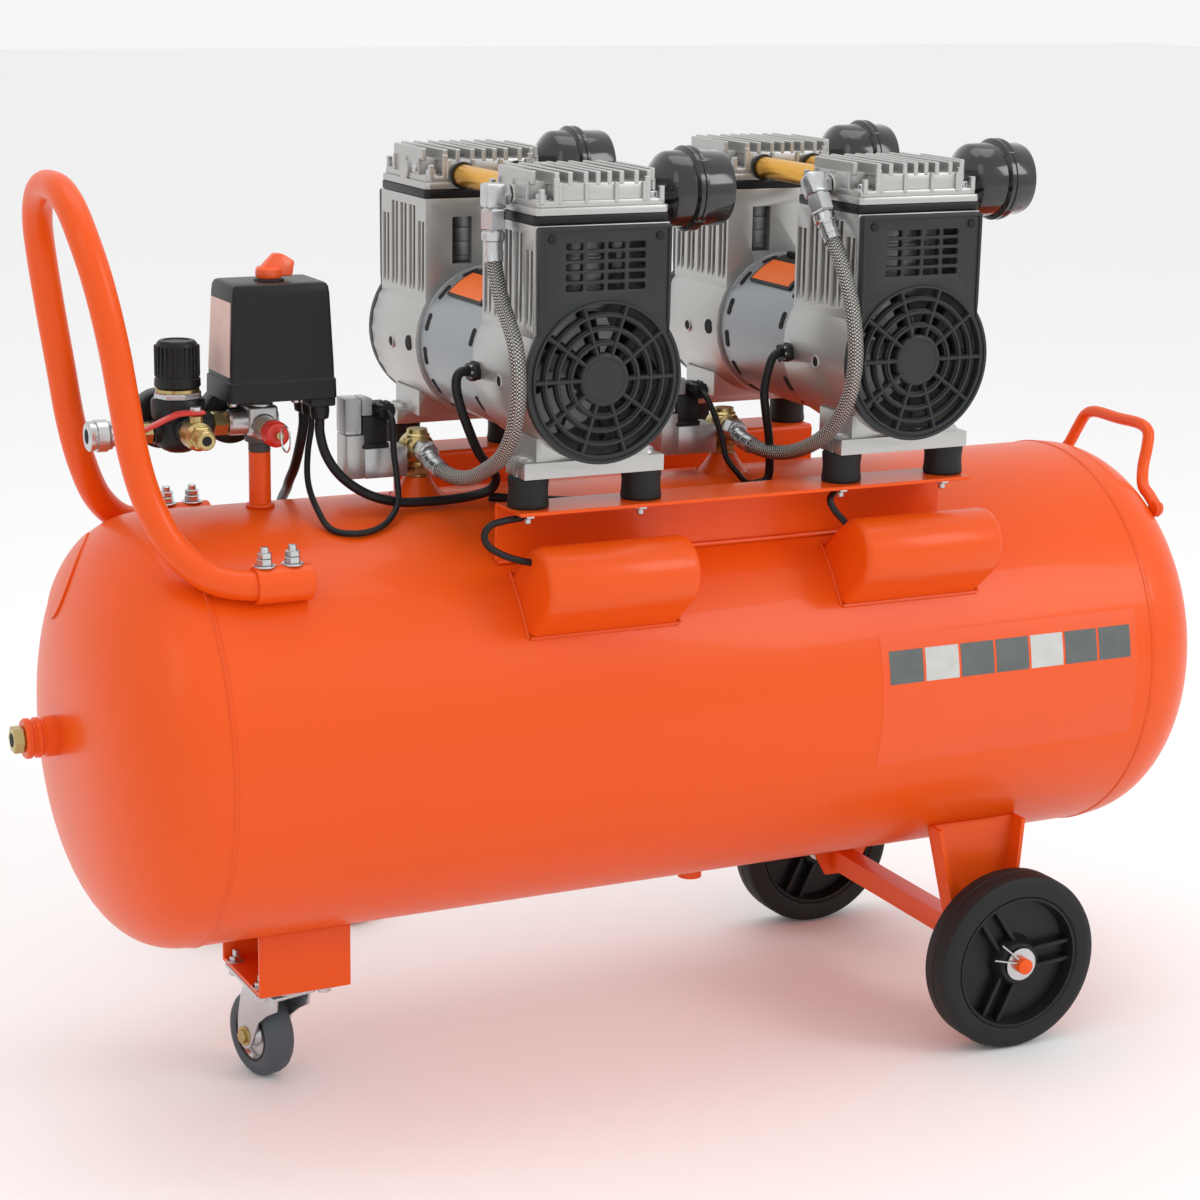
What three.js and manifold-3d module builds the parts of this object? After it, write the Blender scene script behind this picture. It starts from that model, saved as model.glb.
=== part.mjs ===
// Twin stack compressor: a horizontal 100 litre receiver on two wheels and a caster, with two
// double-ended oil-free pumps on rubber feet, a pressure switch, a regulator and their plumbing.
// Millimetres, +Z up, +X along the receiver (wheels at the +X end), the operator stands at -Y.
// Heights below are measured from the receiver's axis; the outer group lifts it to the floor.
import * as THREE from 'three';
import { mergeVertices } from 'three/addons/utils/BufferGeometryUtils.js';
import Module from 'manifold-3d';

const wasm = await Module();
wasm.setup();

// ---------------------------------------------------------------- driving dimensions
const GAP = 0.3;                       // clearance between separate pieces

const TANK_R = 180;                    // receiver outer radius
const TANK_WALL = 3;
const SHELL_HALF = 429;                // half length of the cylindrical shell, seam to middle
const HEAD_DEPTH = 92;                 // depth of the dished ends
const HEAD_POWER = 2.5;                // super-ellipse power of the dished ends

const WHEEL_R = 81;
const WHEEL_W = 35;
const WHEEL_X = 292.7;
const WHEEL_Z = -248.6;
const WHEEL_FACE = 195;                // outer face of each wheel, from the middle plane
const FLOOR = WHEEL_Z - WHEEL_R;       // floor height under the receiver's axis

const BRACKET_X = -329.2;              // middle of the caster bracket
const CASTER_X = -335;                 // swivel axis
const CASTER_R = 37.5;
const CASTER_TRAIL = 30;
const CASTER_TURN = 13;                // degrees that the caster is swivelled as it stands
const BRACKET_HALF = 49.6;             // caster bracket, half width across the receiver
const BRACKET_BASE = -228.9;

const RAIL_TOP = 192.6;
const RAIL_WEB = 112;                  // outer face of each rail's web
const RAIL_EDGE = 160.6;               // outer edge of each rail's flange
const RAIL_X = [-185, 237.6];
const SHEET = 3;                       // rail plate thickness

const PUMP_X = [-117, 174.2];          // centre lines of the two pumps
const SHAFT_Z = 297.6;
const CASE_IN = 60.5;                  // inner face of each crankcase, from the middle plane
const CASE_OUT = 162;                  // outer face, where the fan cover sits
const CASE_HALF = 58.5;                // half width of the upper housing
const CASE_R = 68;                     // round lower housing
const CASE_TOP = 420;
const HEAD_TOP = 463;
const COVER_T = 9;
const GLAND = [-72, 294];              // y, z of the cable gland in each front crankcase
const FOOT = { x: 50.6, y: 136, r: 16.8, top: 217.6 };

const SWITCH = { x: [-383, -291], y: [-36, 28], base: 272, top: 366 };
const RISER_X = -346.5;
const MANIFOLD_Z = [226.5, 267];
const LINE_Z = 251.5;                  // axis of the regulator line
const REG_X = -414.5;
const GAUGE_R = 24;
const VALVE_DX = -91;                  // check valve, from its pump's centre line

const SOCKET = { x: [-396, -350], y: 127, z: 146, r: 15, bore: 12.6 };
const HANDLE_R = 12;

// ---------------------------------------------------------------- colours and finishes
const finish = (color, roughness, metalness) => ({ color, roughness, metalness, flatShading: true });
const ORANGE = finish(0xe8490f, 0.3, 0.0);
const ALUMINIUM = finish(0xb9bbba, 0.45, 0.9);
const ZINC = finish(0xc4c6c6, 0.35, 0.9);
const BRASS = finish(0xb8963f, 0.35, 0.9);
const GOLD = finish(0xd79a2b, 0.3, 0.9);
const STEEL_GREY = finish(0x8f969c, 0.4, 0.5);
const BLACK = finish(0x17181a, 0.45, 0.0);
const DARK = finish(0x2b2e31, 0.55, 0.0);
const RUBBER = finish(0x1d1e20, 0.85, 0.0);
const TYRE_GREY = finish(0x4b5259, 0.8, 0.0);
const RED = finish(0xc02218, 0.4, 0.0);

// ---------------------------------------------------------------- modelling helpers
/** A manifold from any closed three.js geometry, turned the right way out. */
function solid(geometry) {
  geometry.deleteAttribute('normal');
  geometry.deleteAttribute('uv');
  const merged = mergeVertices(geometry, 1e-4);
  const p = merged.attributes.position.array;
  const index = merged.index.array;
  const tris = [];
  let volume = 0;
  for (let i = 0; i < index.length; i += 3) {
    const [a, b, c] = [index[i], index[i + 1], index[i + 2]];
    if (a === b || b === c || c === a) continue;
    tris.push(a, b, c);
    const [A, B, C] = [a, b, c].map((k) => new THREE.Vector3().fromArray(p, 3 * k));
    volume += A.dot(B.cross(C));
  }
  if (volume < 0) for (let i = 0; i < tris.length; i += 3) [tris[i], tris[i + 1]] = [tris[i + 1], tris[i]];
  return new wasm.Manifold(new wasm.Mesh({
    numProp: 3, vertProperties: new Float32Array(p), triVerts: new Uint32Array(tris) }));
}

const join = (...parts) => parts.flat().reduce((a, b) => a.add(b));
const cut = (body, ...tools) => tools.flat().reduce((a, b) => a.subtract(b), body);
const mirrorY = (body) => body.mirror([0, 1, 0]);

const box = (x0, x1, y0, y1, z0, z1) => solid(new THREE.BoxGeometry(x1 - x0, y1 - y0, z1 - z0)
  .translate((x0 + x1) / 2, (y0 + y1) / 2, (z0 + z1) / 2));

/** Turns a geometry made about +Y onto the named axis and moves it to u, v in the other two. */
function along(axis, geometry, [u, v]) {
  if (axis === 'x') return geometry.rotateZ(-Math.PI / 2).translate(0, u, v);
  if (axis === 'z') return geometry.rotateX(Math.PI / 2).translate(u, v, 0);
  return geometry.translate(u, 0, v);
}

/** A round bar or cone on the named axis, from a to b. */
const rod = (axis, r, a, b, at, sides = 24, r2 = r) => solid(along(axis,
  new THREE.CylinderGeometry(r2, r, b - a, sides).translate(0, (a + b) / 2, 0), at));

/** A turned piece: profile points are [distance along the axis, radius]. */
const turned = (axis, profile, at, sides = 24) => solid(along(axis,
  new THREE.LatheGeometry(profile.map(([s, r]) => new THREE.Vector2(r, s)), sides), at));

/** A plate cut to an outline in X and Z, between two Y values, with optional holes. */
function plate(outline, y0, y1, holes = []) {
  const shape = new THREE.Shape(outline.map(([x, z]) => new THREE.Vector2(x, z)));
  for (const h of holes) shape.holes.push(new THREE.Path(h.map(([x, z]) => new THREE.Vector2(x, z))));
  return solid(new THREE.ExtrudeGeometry(shape, { depth: y1 - y0, bevelEnabled: false, steps: 1 })
    .rotateX(Math.PI / 2).translate(0, y1, 0));
}

/** A round tube or cable on a smooth route. */
function tube(points, r, sides, steps) {
  const ring = Array.from({ length: sides }, (_, i) => {
    const a = (2 * Math.PI * i) / sides;
    return new THREE.Vector2(r * Math.cos(a), r * Math.sin(a));
  });
  const extrudePath = new THREE.CatmullRomCurve3(points.map((q) => new THREE.Vector3(...q)));
  return solid(new THREE.ExtrudeGeometry(new THREE.Shape(ring), { steps, extrudePath, bevelEnabled: false }));
}

const arc = (cx, cz, r, from, to, n) => Array.from({ length: n + 1 }, (_, i) => {
  const a = THREE.MathUtils.degToRad(from + ((to - from) * i) / n);
  return [cx + r * Math.cos(a), cz + r * Math.sin(a)];
});

const pieces = new THREE.Group();
function add(name, body, look) {
  const { vertProperties, triVerts } = body.getMesh();
  const geometry = new THREE.BufferGeometry();
  geometry.setAttribute('position', new THREE.BufferAttribute(vertProperties, 3));
  geometry.setIndex(new THREE.BufferAttribute(triVerts, 1));
  geometry.computeVertexNormals();
  const mesh = new THREE.Mesh(geometry, new THREE.MeshStandardMaterial(look));
  mesh.name = name;
  pieces.add(mesh);
}

// ---------------------------------------------------------------- receiver
/** Dished end profile from the seam (0) to the apex (1), shrunk by the wall on the inside. */
function dish(side, wall, steps) {
  return Array.from({ length: steps + 1 }, (_, i) => {
    const t = Math.sin((Math.PI / 2) * (i / steps));
    const r = (TANK_R - wall) * (1 - t ** HEAD_POWER) ** (1 / HEAD_POWER);
    return [side * (SHELL_HALF + (HEAD_DEPTH - wall) * t), i === steps ? 0 : r];
  });
}

const vessel = (wall, steps, sides) => turned('x',
  [...dish(-1, wall, steps).reverse(), ...dish(1, wall, steps)], [0, 0], sides);

const BUNG = { z: 5, r: 16.5, x: -549 };

function socket(side) {
  const at = [side * SOCKET.y, SOCKET.z];
  const bolts = [-387.2, -364.3].map((x) => join(
    rod('z', 4, SOCKET.z + 13.6, SOCKET.z + 32, [x, side * SOCKET.y], 8),
    rod('z', 7, SOCKET.z + 13.6, SOCKET.z + 23, [x, side * SOCKET.y], 6)));
  return [cut(rod('x', SOCKET.r, ...SOCKET.x, at, 16),
    rod('x', SOCKET.bore, SOCKET.x[0] - 1, SOCKET.x[1] + 1, at, 16)), ...bolts];
}

function receiver() {
  const bosses = PUMP_X.map((x) => rod('z', 23, 174, 196, [x + VALVE_DX, 0], 16, 11));
  const body = join(vessel(0, 6, 40),
    rod('x', BUNG.r, BUNG.x, -500, [0, BUNG.z], 16),
    rod('z', 9, 174, MANIFOLD_Z[0] - GAP, [RISER_X, 0], 12), bosses,
    ...[-1, 1].map(socket).flat(),
    rod('z', 11, -196, -170, [60, 0], 12));
  return cut(body, vessel(TANK_WALL, 3, 16),
    rod('x', 9, BUNG.x - 1, -480, [0, BUNG.z], 12),
    rod('z', 6, 160, 300, [RISER_X, 0], 10),
    rod('z', 5, -200, -160, [60, 0], 10));
}
add('receiver', receiver(), ORANGE);

add('end_plug', join(rod('x', 11.5, BUNG.x - 9.5, BUNG.x - GAP, [0, BUNG.z], 6),
  rod('x', 8.4, BUNG.x - 2, BUNG.x + 16, [0, BUNG.z], 12)), BRASS);

// ---------------------------------------------------------------- undercarriage
function wheelBracket() {
  const y = -118;
  const outline = [[238, -136.8], [330, -136.8], [322, -240], [309, -264], [276, -264], [263, -240]];
  const back = plate(outline, y - 4, y);
  const flange = (xTop, xLow) => plate(
    [[xTop, -134.6], [xTop + 4, -134.6], [xLow + 4, -240], [xLow, -240]], y - 20, y - 1);
  return cut(join(back, flange(238, 263), flange(326, 318)),
    rod('x', TANK_R + 0.35, -400, 400, [0, 0], 80));
}

function axleFrame() {
  const spindle = rod('y', 7.2, -WHEEL_FACE - 9, WHEEL_FACE + 9, [WHEEL_X, WHEEL_Z], 16);
  const beam = box(WHEEL_X - 10, WHEEL_X + 10, -150, 150, WHEEL_Z - 10, WHEEL_Z + 10);
  return join(spindle, beam, wheelBracket(), mirrorY(wheelBracket()));
}
add('axle_frame', axleFrame(), ORANGE);

/** Tyre on a two-part plastic hub; the web is thin, with ribs on its outer face. */
function roadWheel() {
  const [a, b] = [-WHEEL_FACE, -WHEEL_FACE + WHEEL_W];
  const m = (a + b) / 2;
  const at = [WHEEL_X, WHEEL_Z];
  const rim = turned('y', [[a + 3, 58], [a, 63], [a + 1, 75], [a + 6, WHEEL_R],
    [b - 6, WHEEL_R], [b - 1, 75], [b, 63], [b - 3, 58], [a + 3, 58]], at, 28);
  const web = turned('y', [[a + 1, 7.8], [a + 1, 18], [m - 3, 26], [m - 3, 62],
    [m + 3, 62], [m + 3, 26], [b - 1, 18], [b - 1, 7.8], [a + 1, 7.8]], at, 16);
  const ribs = [118, 238, 358].map((deg) => [-7, 7].map((off) =>
    box(12, 61, a + 6, m, off - 1.8, off + 1.8).rotate([0, -deg, 0])
      .translate([WHEEL_X, 0, WHEEL_Z]))).flat();
  const core = rod('y', 15, a - 1, b + 1, at, 8);
  return join(rim, web, ribs.map((r) => cut(r, core)));
}
add('wheel_front', roadWheel(), BLACK);
add('wheel_rear', mirrorY(roadWheel()), BLACK);

function casterBracket() {
  const [x0, x1] = [BRACKET_X - 40.5, BRACKET_X + 40.5];
  const wall = (y0, y1) => box(x0, x1, y0, y1, BRACKET_BASE, -170);
  return cut(join(box(x0, x1, -BRACKET_HALF, BRACKET_HALF, BRACKET_BASE, BRACKET_BASE + 4),
    wall(-BRACKET_HALF, 4 - BRACKET_HALF), wall(BRACKET_HALF - 4, BRACKET_HALF)),
  rod('x', TANK_R + 0.35, -400, 0, [0, 0], 80));
}
add('caster_bracket', casterBracket(), ORANGE);

const PLATE_Z = BRACKET_BASE - GAP;
add('caster_plate', join(
  box(CASTER_X - 35, CASTER_X + 35, -42, 42, PLATE_Z - 3, PLATE_Z),
  rod('z', 23, PLATE_Z - 11, PLATE_Z - 2, [CASTER_X, 0], 16, 26),
  [-1, 1].map((i) => [-1, 1].map((j) =>
    rod('z', 6.5, PLATE_Z - 8, PLATE_Z - 2, [CASTER_X + 28 * i, 33 * j], 6))).flat()), ZINC);

const casterTurn = (body) => body.rotate([0, 0, CASTER_TURN]).translate([CASTER_X, 0, 0]);
const CASTER_AXLE = FLOOR + CASTER_R;

/** Pressed fork, made with its trail along +Y about the swivel axis, then turned. */
function casterFork() {
  const top = PLATE_Z - 11 - GAP;
  const legOutline = [[-20, top], [26, top], [CASTER_TRAIL + 12, CASTER_AXLE + 6],
    [CASTER_TRAIL + 5, CASTER_AXLE - 10], [CASTER_TRAIL - 7, CASTER_AXLE - 8], [-18, top - 12]];
  const leg = (x) => plate(legOutline, x, x + 2.5).rotate([0, 0, 90]);
  const bolt = rod('x', 4, -21, 21, [CASTER_TRAIL, CASTER_AXLE], 10);
  const bar = box(-17.5, 17.5, -20, 26, top - 3, top);
  return casterTurn(join(bar, leg(-17.5), leg(15), bolt));
}
add('caster_fork', casterFork(), ZINC);

add('caster_wheel', casterTurn(turned('x', [[-12.5, 4.5], [-12.5, 31], [-10, 35.5], [-5, CASTER_R],
  [5, CASTER_R], [10, 35.5], [12.5, 31], [12.5, 4.5], [-12.5, 4.5]],
[CASTER_TRAIL, CASTER_AXLE], 24)), TYRE_GREY);

// ---------------------------------------------------------------- handles
const hoop = [[-351, 127, 146], [-375, 127, 146], [-400, 127, 146.5], [-428, 120, 153], [-452, 107, 175],
  [-468, 96, 208], [-478, 91, 245], [-485, 90, 290], [-492, 89, 335], [-500, 83, 380],
  [-506, 73, 411], [-509.5, 55, 434], [-511, 30, 443.5], [-511, 0, 445]];
const mirrored = (points) => [...points.map(([x, y, z]) => [x, -y, z]),
  ...points.slice(0, -1).reverse()];
add('carry_handle', tube(mirrored(hoop), HANDLE_R, 10, 38), ORANGE);

const grip = [[484, 99, 134.5], [487, 84, 142], [489, 71, 149], [496, 60, 164], [503, 55, 182],
  [507, 50, 194], [508, 40, 199], [508, 0, 199.5]];
add('end_handle', tube(mirrored(grip), 5.5, 8, 28), ORANGE);

// ---------------------------------------------------------------- rails and capacitor covers
/** Z-section rail with the four rubber feet of that side and the nuts below them. */
function rail() {
  const [x0, x1] = RAIL_X;
  const flange = box(x0, x1, -RAIL_EDGE, -RAIL_WEB + SHEET, RAIL_TOP - SHEET, RAIL_TOP);
  const web = box(x0, x1, -RAIL_WEB, -RAIL_WEB + SHEET, 143.9, RAIL_TOP);
  const mounts = PUMP_X.map((x) => [-1, 1].map((s) => {
    const at = [x + s * FOOT.x, -FOOT.y];
    return join(rod('z', FOOT.r, RAIL_TOP - 1, FOOT.top, at, 14),
      rod('z', 6.5, RAIL_TOP - SHEET - 6, RAIL_TOP - 1, at, 6));
  })).flat();
  return join(flange, web, mounts);
}
add('rail_front', rail(), ORANGE);
add('rail_rear', mirrorY(rail()), ORANGE);

/** Pressed D-section cover on the receiver's shoulder, open towards the shell. */
function capacitorCover(x) {
  const [x0, x1] = [x - 58, x + 78];
  const tilt = 39;
  const section = (r, tip) => [[150, -r], ...arc(tip - r, 0, r, -90, 90, 10), [150, r]];
  const bar = (r, tip, a, b) => {
    const shape = new THREE.Shape(section(r, tip).map(([u, t]) => new THREE.Vector2(u, t)));
    return solid(new THREE.ExtrudeGeometry(shape, { depth: b - a, bevelEnabled: false, steps: 1 })
      .rotateY(Math.PI / 2).rotateX(-Math.PI / 2));
  };
  const place = (b, a) => b.rotate([-tilt, 0, 0]).translate([a, 0, 0]);
  const outer = place(bar(29.5, 246, x0, x1), x0);
  const inner = place(bar(27.5, 244, x0 + 2, x1 - 2), x0 + 2);
  return cut(outer, inner, rod('x', TANK_R + 0.35, -500, 500, [0, 0], 80));
}
add('capacitor_cover_left', capacitorCover(PUMP_X[0]), ORANGE);
add('capacitor_cover_right', capacitorCover(PUMP_X[1]), ORANGE);

// ---------------------------------------------------------------- pumps
/** Crankcase casting of the front end, about the pump's centre line; the rear one mirrors it. */
function crankcase(cableEntry) {
  const [yo, yi] = [-CASE_OUT, -CASE_IN];
  const at = [0, SHAFT_Z];
  const outer = join(rod('y', CASE_R, yo, yi, at, 28),
    box(-CASE_HALF, CASE_HALF, yo, yi, SHAFT_Z, CASE_TOP - GAP),
    box(-50, 50, -150, -96, 228, 250),
    box(-62, 62, -154, -117, FOOT.top + GAP, 231));
  const hollow = [rod('y', CASE_R - 7, yo - 1, yi - 7, at, 20),
    box(-50, 50, yo - 1, yi - 7, SHAFT_Z, CASE_TOP - 8)];
  const windows = [-25, 25].map((x) => box(x - 9, x + 9, yi - 9, yi + 1, 364, 404));
  const fins = [];
  for (let i = 0; i < 5; i++) {
    const y = yo + 11 + 20 * i;
    for (const s of [-1, 1]) {
      fins.push(box(...(s < 0 ? [-60, -53] : [53, 60]), y - 7, y + 7, 340, i % 4 ? 412 : 400));
    }
  }
  const gland = rod('x', 7.5, -76, -60, GLAND, 8);
  return cut(cableEntry ? join(outer, gland) : outer, hollow, windows, fins, rod('y', 9, yi - 8, yi + 1, at, 12));
}

/** Fan cover: a black panel with a rectangular grille above a round one with ten spokes. */
function fanCover() {
  const [y0, y1] = [-CASE_OUT - COVER_T, -CASE_OUT - GAP];
  const shoulder = THREE.MathUtils.radToDeg(Math.acos(57.5 / 68));
  const outline = [[-57.5, 419], ...arc(0, SHAFT_Z, 68, 180 - shoulder, 360 + shoulder, 18), [57.5, 419]];
  const panel = plate(outline, y0, y1, [arc(0, SHAFT_Z, 58.5, 0, 342, 19)]);
  const spokes = [18, 54, 90, 126, 162].map((deg) => box(-59.5, 59.5, y0 + 2, y0 + 5.5, -1.8, 1.8)
    .rotate([0, deg, 0]).translate([0, 0, SHAFT_Z]));
  const boss = rod('y', 19.5, y0 + 1.5, y0 + 5.5, [0, SHAFT_Z], 14);
  const slots = [-27, -9, 9, 27].map((x) => box(x - 7, x + 7, y0 - 1, y1 + 1, 368, 406.5));
  return join(cut(panel, slots), spokes, boss);
}

/** Motor shell between the crankcases, with its cooling slots. */
function motorShell() {
  const half = CASE_IN - GAP;
  const at = [0, SHAFT_Z];
  const slots = [];
  for (const y of [-46, 46]) {
    for (const deg of [0, 60, 120]) {
      slots.push(box(-80, 80, y - 3, y + 3, -9, 9).rotate([0, deg, 0]).translate([0, 0, SHAFT_Z]));
    }
  }
  const wall = cut(rod('y', 65, -half, half, at, 28), rod('y', 60, -half - 1, half + 1, at, 16));
  return join(cut(wall, slots), box(-30, 30, -34, 34, SHAFT_Z + 62, SHAFT_Z + 70));
}

/** Shaft with the armature in the middle and an axial fan in each crankcase. */
function rotor() {
  const at = [0, SHAFT_Z];
  const blades = [];
  for (const s of [-1, 1]) {
    blades.push(rod('y', 17, ...(s < 0 ? [-158, -140] : [140, 158]), at, 8));
    for (let i = 0; i < 4; i++) {
      blades.push(box(-54, 54, s * 149 - 7, s * 149 + 7, -1.2, 1.2).rotate([0, 45 * i, 0])
        .translate([0, 0, SHAFT_Z]));
    }
  }
  return join(rod('y', 7, -150, 150, at, 8), rod('y', 42, -42, 42, at, 16), blades);
}

/** Cylinder head on its gasket: corner bolt pockets below a finned top. */
function cylinderHead() {
  const [yo, yi] = [-CASE_OUT - 2, -CASE_IN];
  const body = join(box(-CASE_HALF, CASE_HALF, yo, yi, CASE_TOP, 437),
    box(-54, 54, yo + 3, yi - 3, 430, HEAD_TOP));
  const pockets = [-1, 1].map((s) => [yo + 9, yi - 9].map((y) =>
    box(...(s < 0 ? [-60, -40] : [40, 60]), y - 9, y + 9, 440, HEAD_TOP - 5))).flat();
  const grooves = [-44, -28, -12, 4, 20, 36].map((x) => box(x - 3, x + 5, yo - 1, yi + 1, 452, 470));
  const port = rod('x', 9, -60, -53, [-112, 440], 12);
  return cut(body, pockets, grooves, port);
}

/** Intake filter on the +X side of a head: cone, drum and joint ring, with a short neck. */
const filter = (ring) => turned('x', [[CASE_HALF + GAP, 0], [CASE_HALF + GAP, 14], [68, 18], [76, 29],
  [ring - 1, 31], [ring, 34.7], [ring + 7, 34.7], [ring + 8, 31], [132, 30], [132, 0]], [-110, 440], 18);

const at = (body, x) => body.translate([x, 0, 0]);
PUMP_X.forEach((x, i) => {
  const side = i ? 'right' : 'left';
  const ring = i ? 104 : 97;
  add(`crankcase_${side}_front`, at(crankcase(true), x), ALUMINIUM);
  add(`crankcase_${side}_rear`, at(mirrorY(crankcase(false)), x), ALUMINIUM);
  add(`motor_shell_${side}`, at(motorShell(), x), STEEL_GREY);
  add(`rotor_${side}`, at(rotor(), x), DARK);
  add(`fan_cover_${side}_front`, at(fanCover(), x), DARK);
  add(`fan_cover_${side}_rear`, at(mirrorY(fanCover()), x), DARK);
  add(`cylinder_head_${side}_front`, at(cylinderHead(), x), ALUMINIUM);
  add(`cylinder_head_${side}_rear`, at(mirrorY(cylinderHead()), x), ALUMINIUM);
  add(`air_filter_${side}_front`, at(filter(ring), x), BLACK);
  add(`air_filter_${side}_rear`, at(mirrorY(filter(ring)), x), BLACK);
  add(`crossover_tube_${side}`, rod('y', 9.5, GAP - CASE_IN, CASE_IN - GAP, [x - 25, 439], 16), GOLD);
});

// ---------------------------------------------------------------- check valves, unloaders, hoses
/** Tee check valve on its welded boss: outlet to the front, unloader to the left. */
const checkValve = (x) => join(rod('z', 9, 196 + GAP, 214, [x, 0], 8),
  rod('y', 13.5, -11, 12, [x, 219.5], 16), rod('z', 6, 219, 236, [x, 0], 6));

/** Solenoid unloader: valve block, coil and cable connector. */
const unloader = (x) => join(box(x - 52, x - 14, -14, 14, 199, 224),
  box(x - 67, x - 51, -12, 12, 199, 236), box(x - 53, x - 31, -11, 11, 223, 251),
  box(x - 68, x - 52.5, -11, 11, 235.5, 266), box(x - 53, x - 28, -9, 9, 250, 262),
  rod('y', 7, -22, -8, [x - 35, 256], 8));

/** Routes of the two hoses from check valve to elbow; x is measured from the pump's middle. */
const HOSE_DX = -72;
const HOSE_ROUTES = [
  [[VALVE_DX, -14, 219], [VALVE_DX, -25, 216], [VALVE_DX, -36, 212], [-87, -66, 207], [-83, -95, 211],
    [-79.5, -121, 222.5], [-77.5, -145, 237], [-76.5, -163, 259], [-76, -172, 290], [-75.5, -165, 326],
    [-74, -134, 359], [-72.5, -116, 385], [HOSE_DX, -112, 404], [HOSE_DX, -112, 430]],
  [[VALVE_DX, -14, 219], [VALVE_DX, -25, 216], [VALVE_DX, -34, 213], [-86, -62, 208.5], [-80, -90, 210.5],
    [-76.5, -118, 219.5], [-74, -145, 234], [-72, -165, 252], [-71, -180, 276], [-71, -186, 308],
    [-71, -178, 345], [-71, -160, 378], [-71.5, -133, 410], [HOSE_DX, -117.7, 431.8]]];
const HOSE_LEAN = [0, -35];            // degrees that each elbow points forward of straight down

/** Braided hose from the check valve round to the front head, with its nuts and ferrules. */
function hose(x, i) {
  const middle = x + HOSE_DX;
  const lean = (body) => body.translate([0, 112, -440]).rotate([HOSE_LEAN[i], 0, 0])
    .translate([0, -112, 440]);
  return join(tube(HOSE_ROUTES[i].map(([a, b, c]) => [x + a, b, c]), 6.5, 8, 26),
    rod('y', 10, -26, -11 - GAP, [x + VALVE_DX, 219], 6),
    lean(rod('z', 9.5, 404, 422, [middle, -112], 10)),
    lean(rod('z', 10.5, 420, 432, [middle, -112], 6)),
    rod('x', 9, middle - 8, x - CASE_HALF - GAP, [-112, 440], 10),
    lean(box(middle - 9, middle + 9, -121, -103, 430, 449)));
}

PUMP_X.forEach((x, i) => {
  const side = i ? 'right' : 'left';
  add(`check_valve_${side}`, checkValve(x + VALVE_DX), BRASS);
  add(`unloader_${side}`, unloader(x + VALVE_DX), ZINC);
  add(`hose_${side}`, hose(x, i), ZINC);
});

// ---------------------------------------------------------------- pressure switch and manifold
add('manifold', join(
  box(RISER_X - 15, RISER_X + 14, -14, 14, ...MANIFOLD_Z),
  rod('x', 9, -387, RISER_X - 14, [0, LINE_Z], 6)), ZINC);

/** Switch: dark base tray, tapered cover and three cable glands under its right side. */
function pressureSwitch() {
  const { x: [x0, x1], y: [y0, y1], base, top } = SWITCH;
  const cover = solid(new THREE.CylinderGeometry(Math.SQRT1_2 * 0.88, Math.SQRT1_2, top - base, 4, 1)
    .rotateY(Math.PI / 4).rotateX(Math.PI / 2)
    .scale(x1 - x0, y1 - y0, 1).translate((x0 + x1) / 2, (y0 + y1) / 2, (base + top) / 2));
  const glands = [-24, -4, 15].map((y) => rod('z', 8, base - 18, base + 1, [-303, y], 8));
  const neck = rod('z', 11, MANIFOLD_Z[1] + GAP, base + 1, [RISER_X, 0], 12);
  return cut(join(cover, glands, neck), rod('z', 8, top - 12, top + 1, [-338, -4], 12));
}
add('pressure_switch', pressureSwitch(), BLACK);

add('switch_knob', join(rod('z', 7.6, SWITCH.top - 11, SWITCH.top + 8, [-338, -4], 12),
  box(-356, -320, -11, 3, SWITCH.top + 3, SWITCH.top + 12),
  rod('z', 11, SWITCH.top + 10, SWITCH.top + 22, [-330, -4], 10, 7)), RED);

/** Regulator body with side ports; its bonnet ring carries the knob. */
add('regulator_body', join(rod('z', 19, 231, 262, [REG_X, 0], 20), rod('z', 22, 258, 275, [REG_X, 0], 20),
  rod('z', 19, 274, 283, [REG_X, 0], 6), rod('x', 10, REG_X, -387 - GAP, [0, LINE_Z], 8),
  rod('y', 9, -27, 0, [REG_X, LINE_Z], 8)), BLACK);

add('regulator_knob', rod('z', 19, 283 + GAP, 321, [REG_X, 0], 18, 17), BLACK);

/** Round pressure gauge facing the rear, with its stem towards the front. */
const gauge = (x, stem) => join(turned('y', [[30, 0], [30, GAUGE_R - 2], [32, GAUGE_R], [48, GAUGE_R],
  [50, GAUGE_R - 2], [50, 0]], [x, LINE_Z], 24), rod('y', 6, stem, 31, [x, LINE_Z], 8));
add('regulator_gauge', gauge(REG_X - 3, 22.5), BLACK);
add('manifold_gauge', gauge(-359, 14 + GAP), BLACK);

/** Front outlet: brass ball valve, its port turned towards the operator. */
add('outlet_valve', join(rod('y', 9, -38, -27 - GAP, [REG_X, LINE_Z], 6),
  rod('y', 11.5, -56, -37, [REG_X, LINE_Z], 12), rod('y', 7.5, -74, -55, [REG_X, LINE_Z], 12),
  rod('z', 5, 260, 267, [REG_X, -47], 8)), BRASS);

const lever = (x0, x1, y, z) => join(box(x0, x1, y - 5, y + 5, z, z + 3),
  rod('z', 6, z - 1, z + 6, [x1 - 6, y], 8));
add('outlet_lever', lever(REG_X - 46, REG_X + 6, -47, 268.4), RED);

/** Side outlet: nipple, small ball valve and quick coupler in line with the regulator. */
add('side_outlet', join(rod('x', 8.5, -446, REG_X - 22 - GAP, [0, LINE_Z - 4], 8),
  rod('x', 11.5, -462, -445, [0, LINE_Z - 4], 12), rod('x', 9, -473, -461, [0, LINE_Z - 4], 12),
  rod('x', 13, -490, -472, [0, LINE_Z - 4], 16), rod('y', 4.5, -17, 0, [-453, LINE_Z - 4], 8)), ZINC);

add('side_lever', join(box(-458, -448, -21, -17 - GAP, LINE_Z - 38, LINE_Z + 1)), RED);

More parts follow.
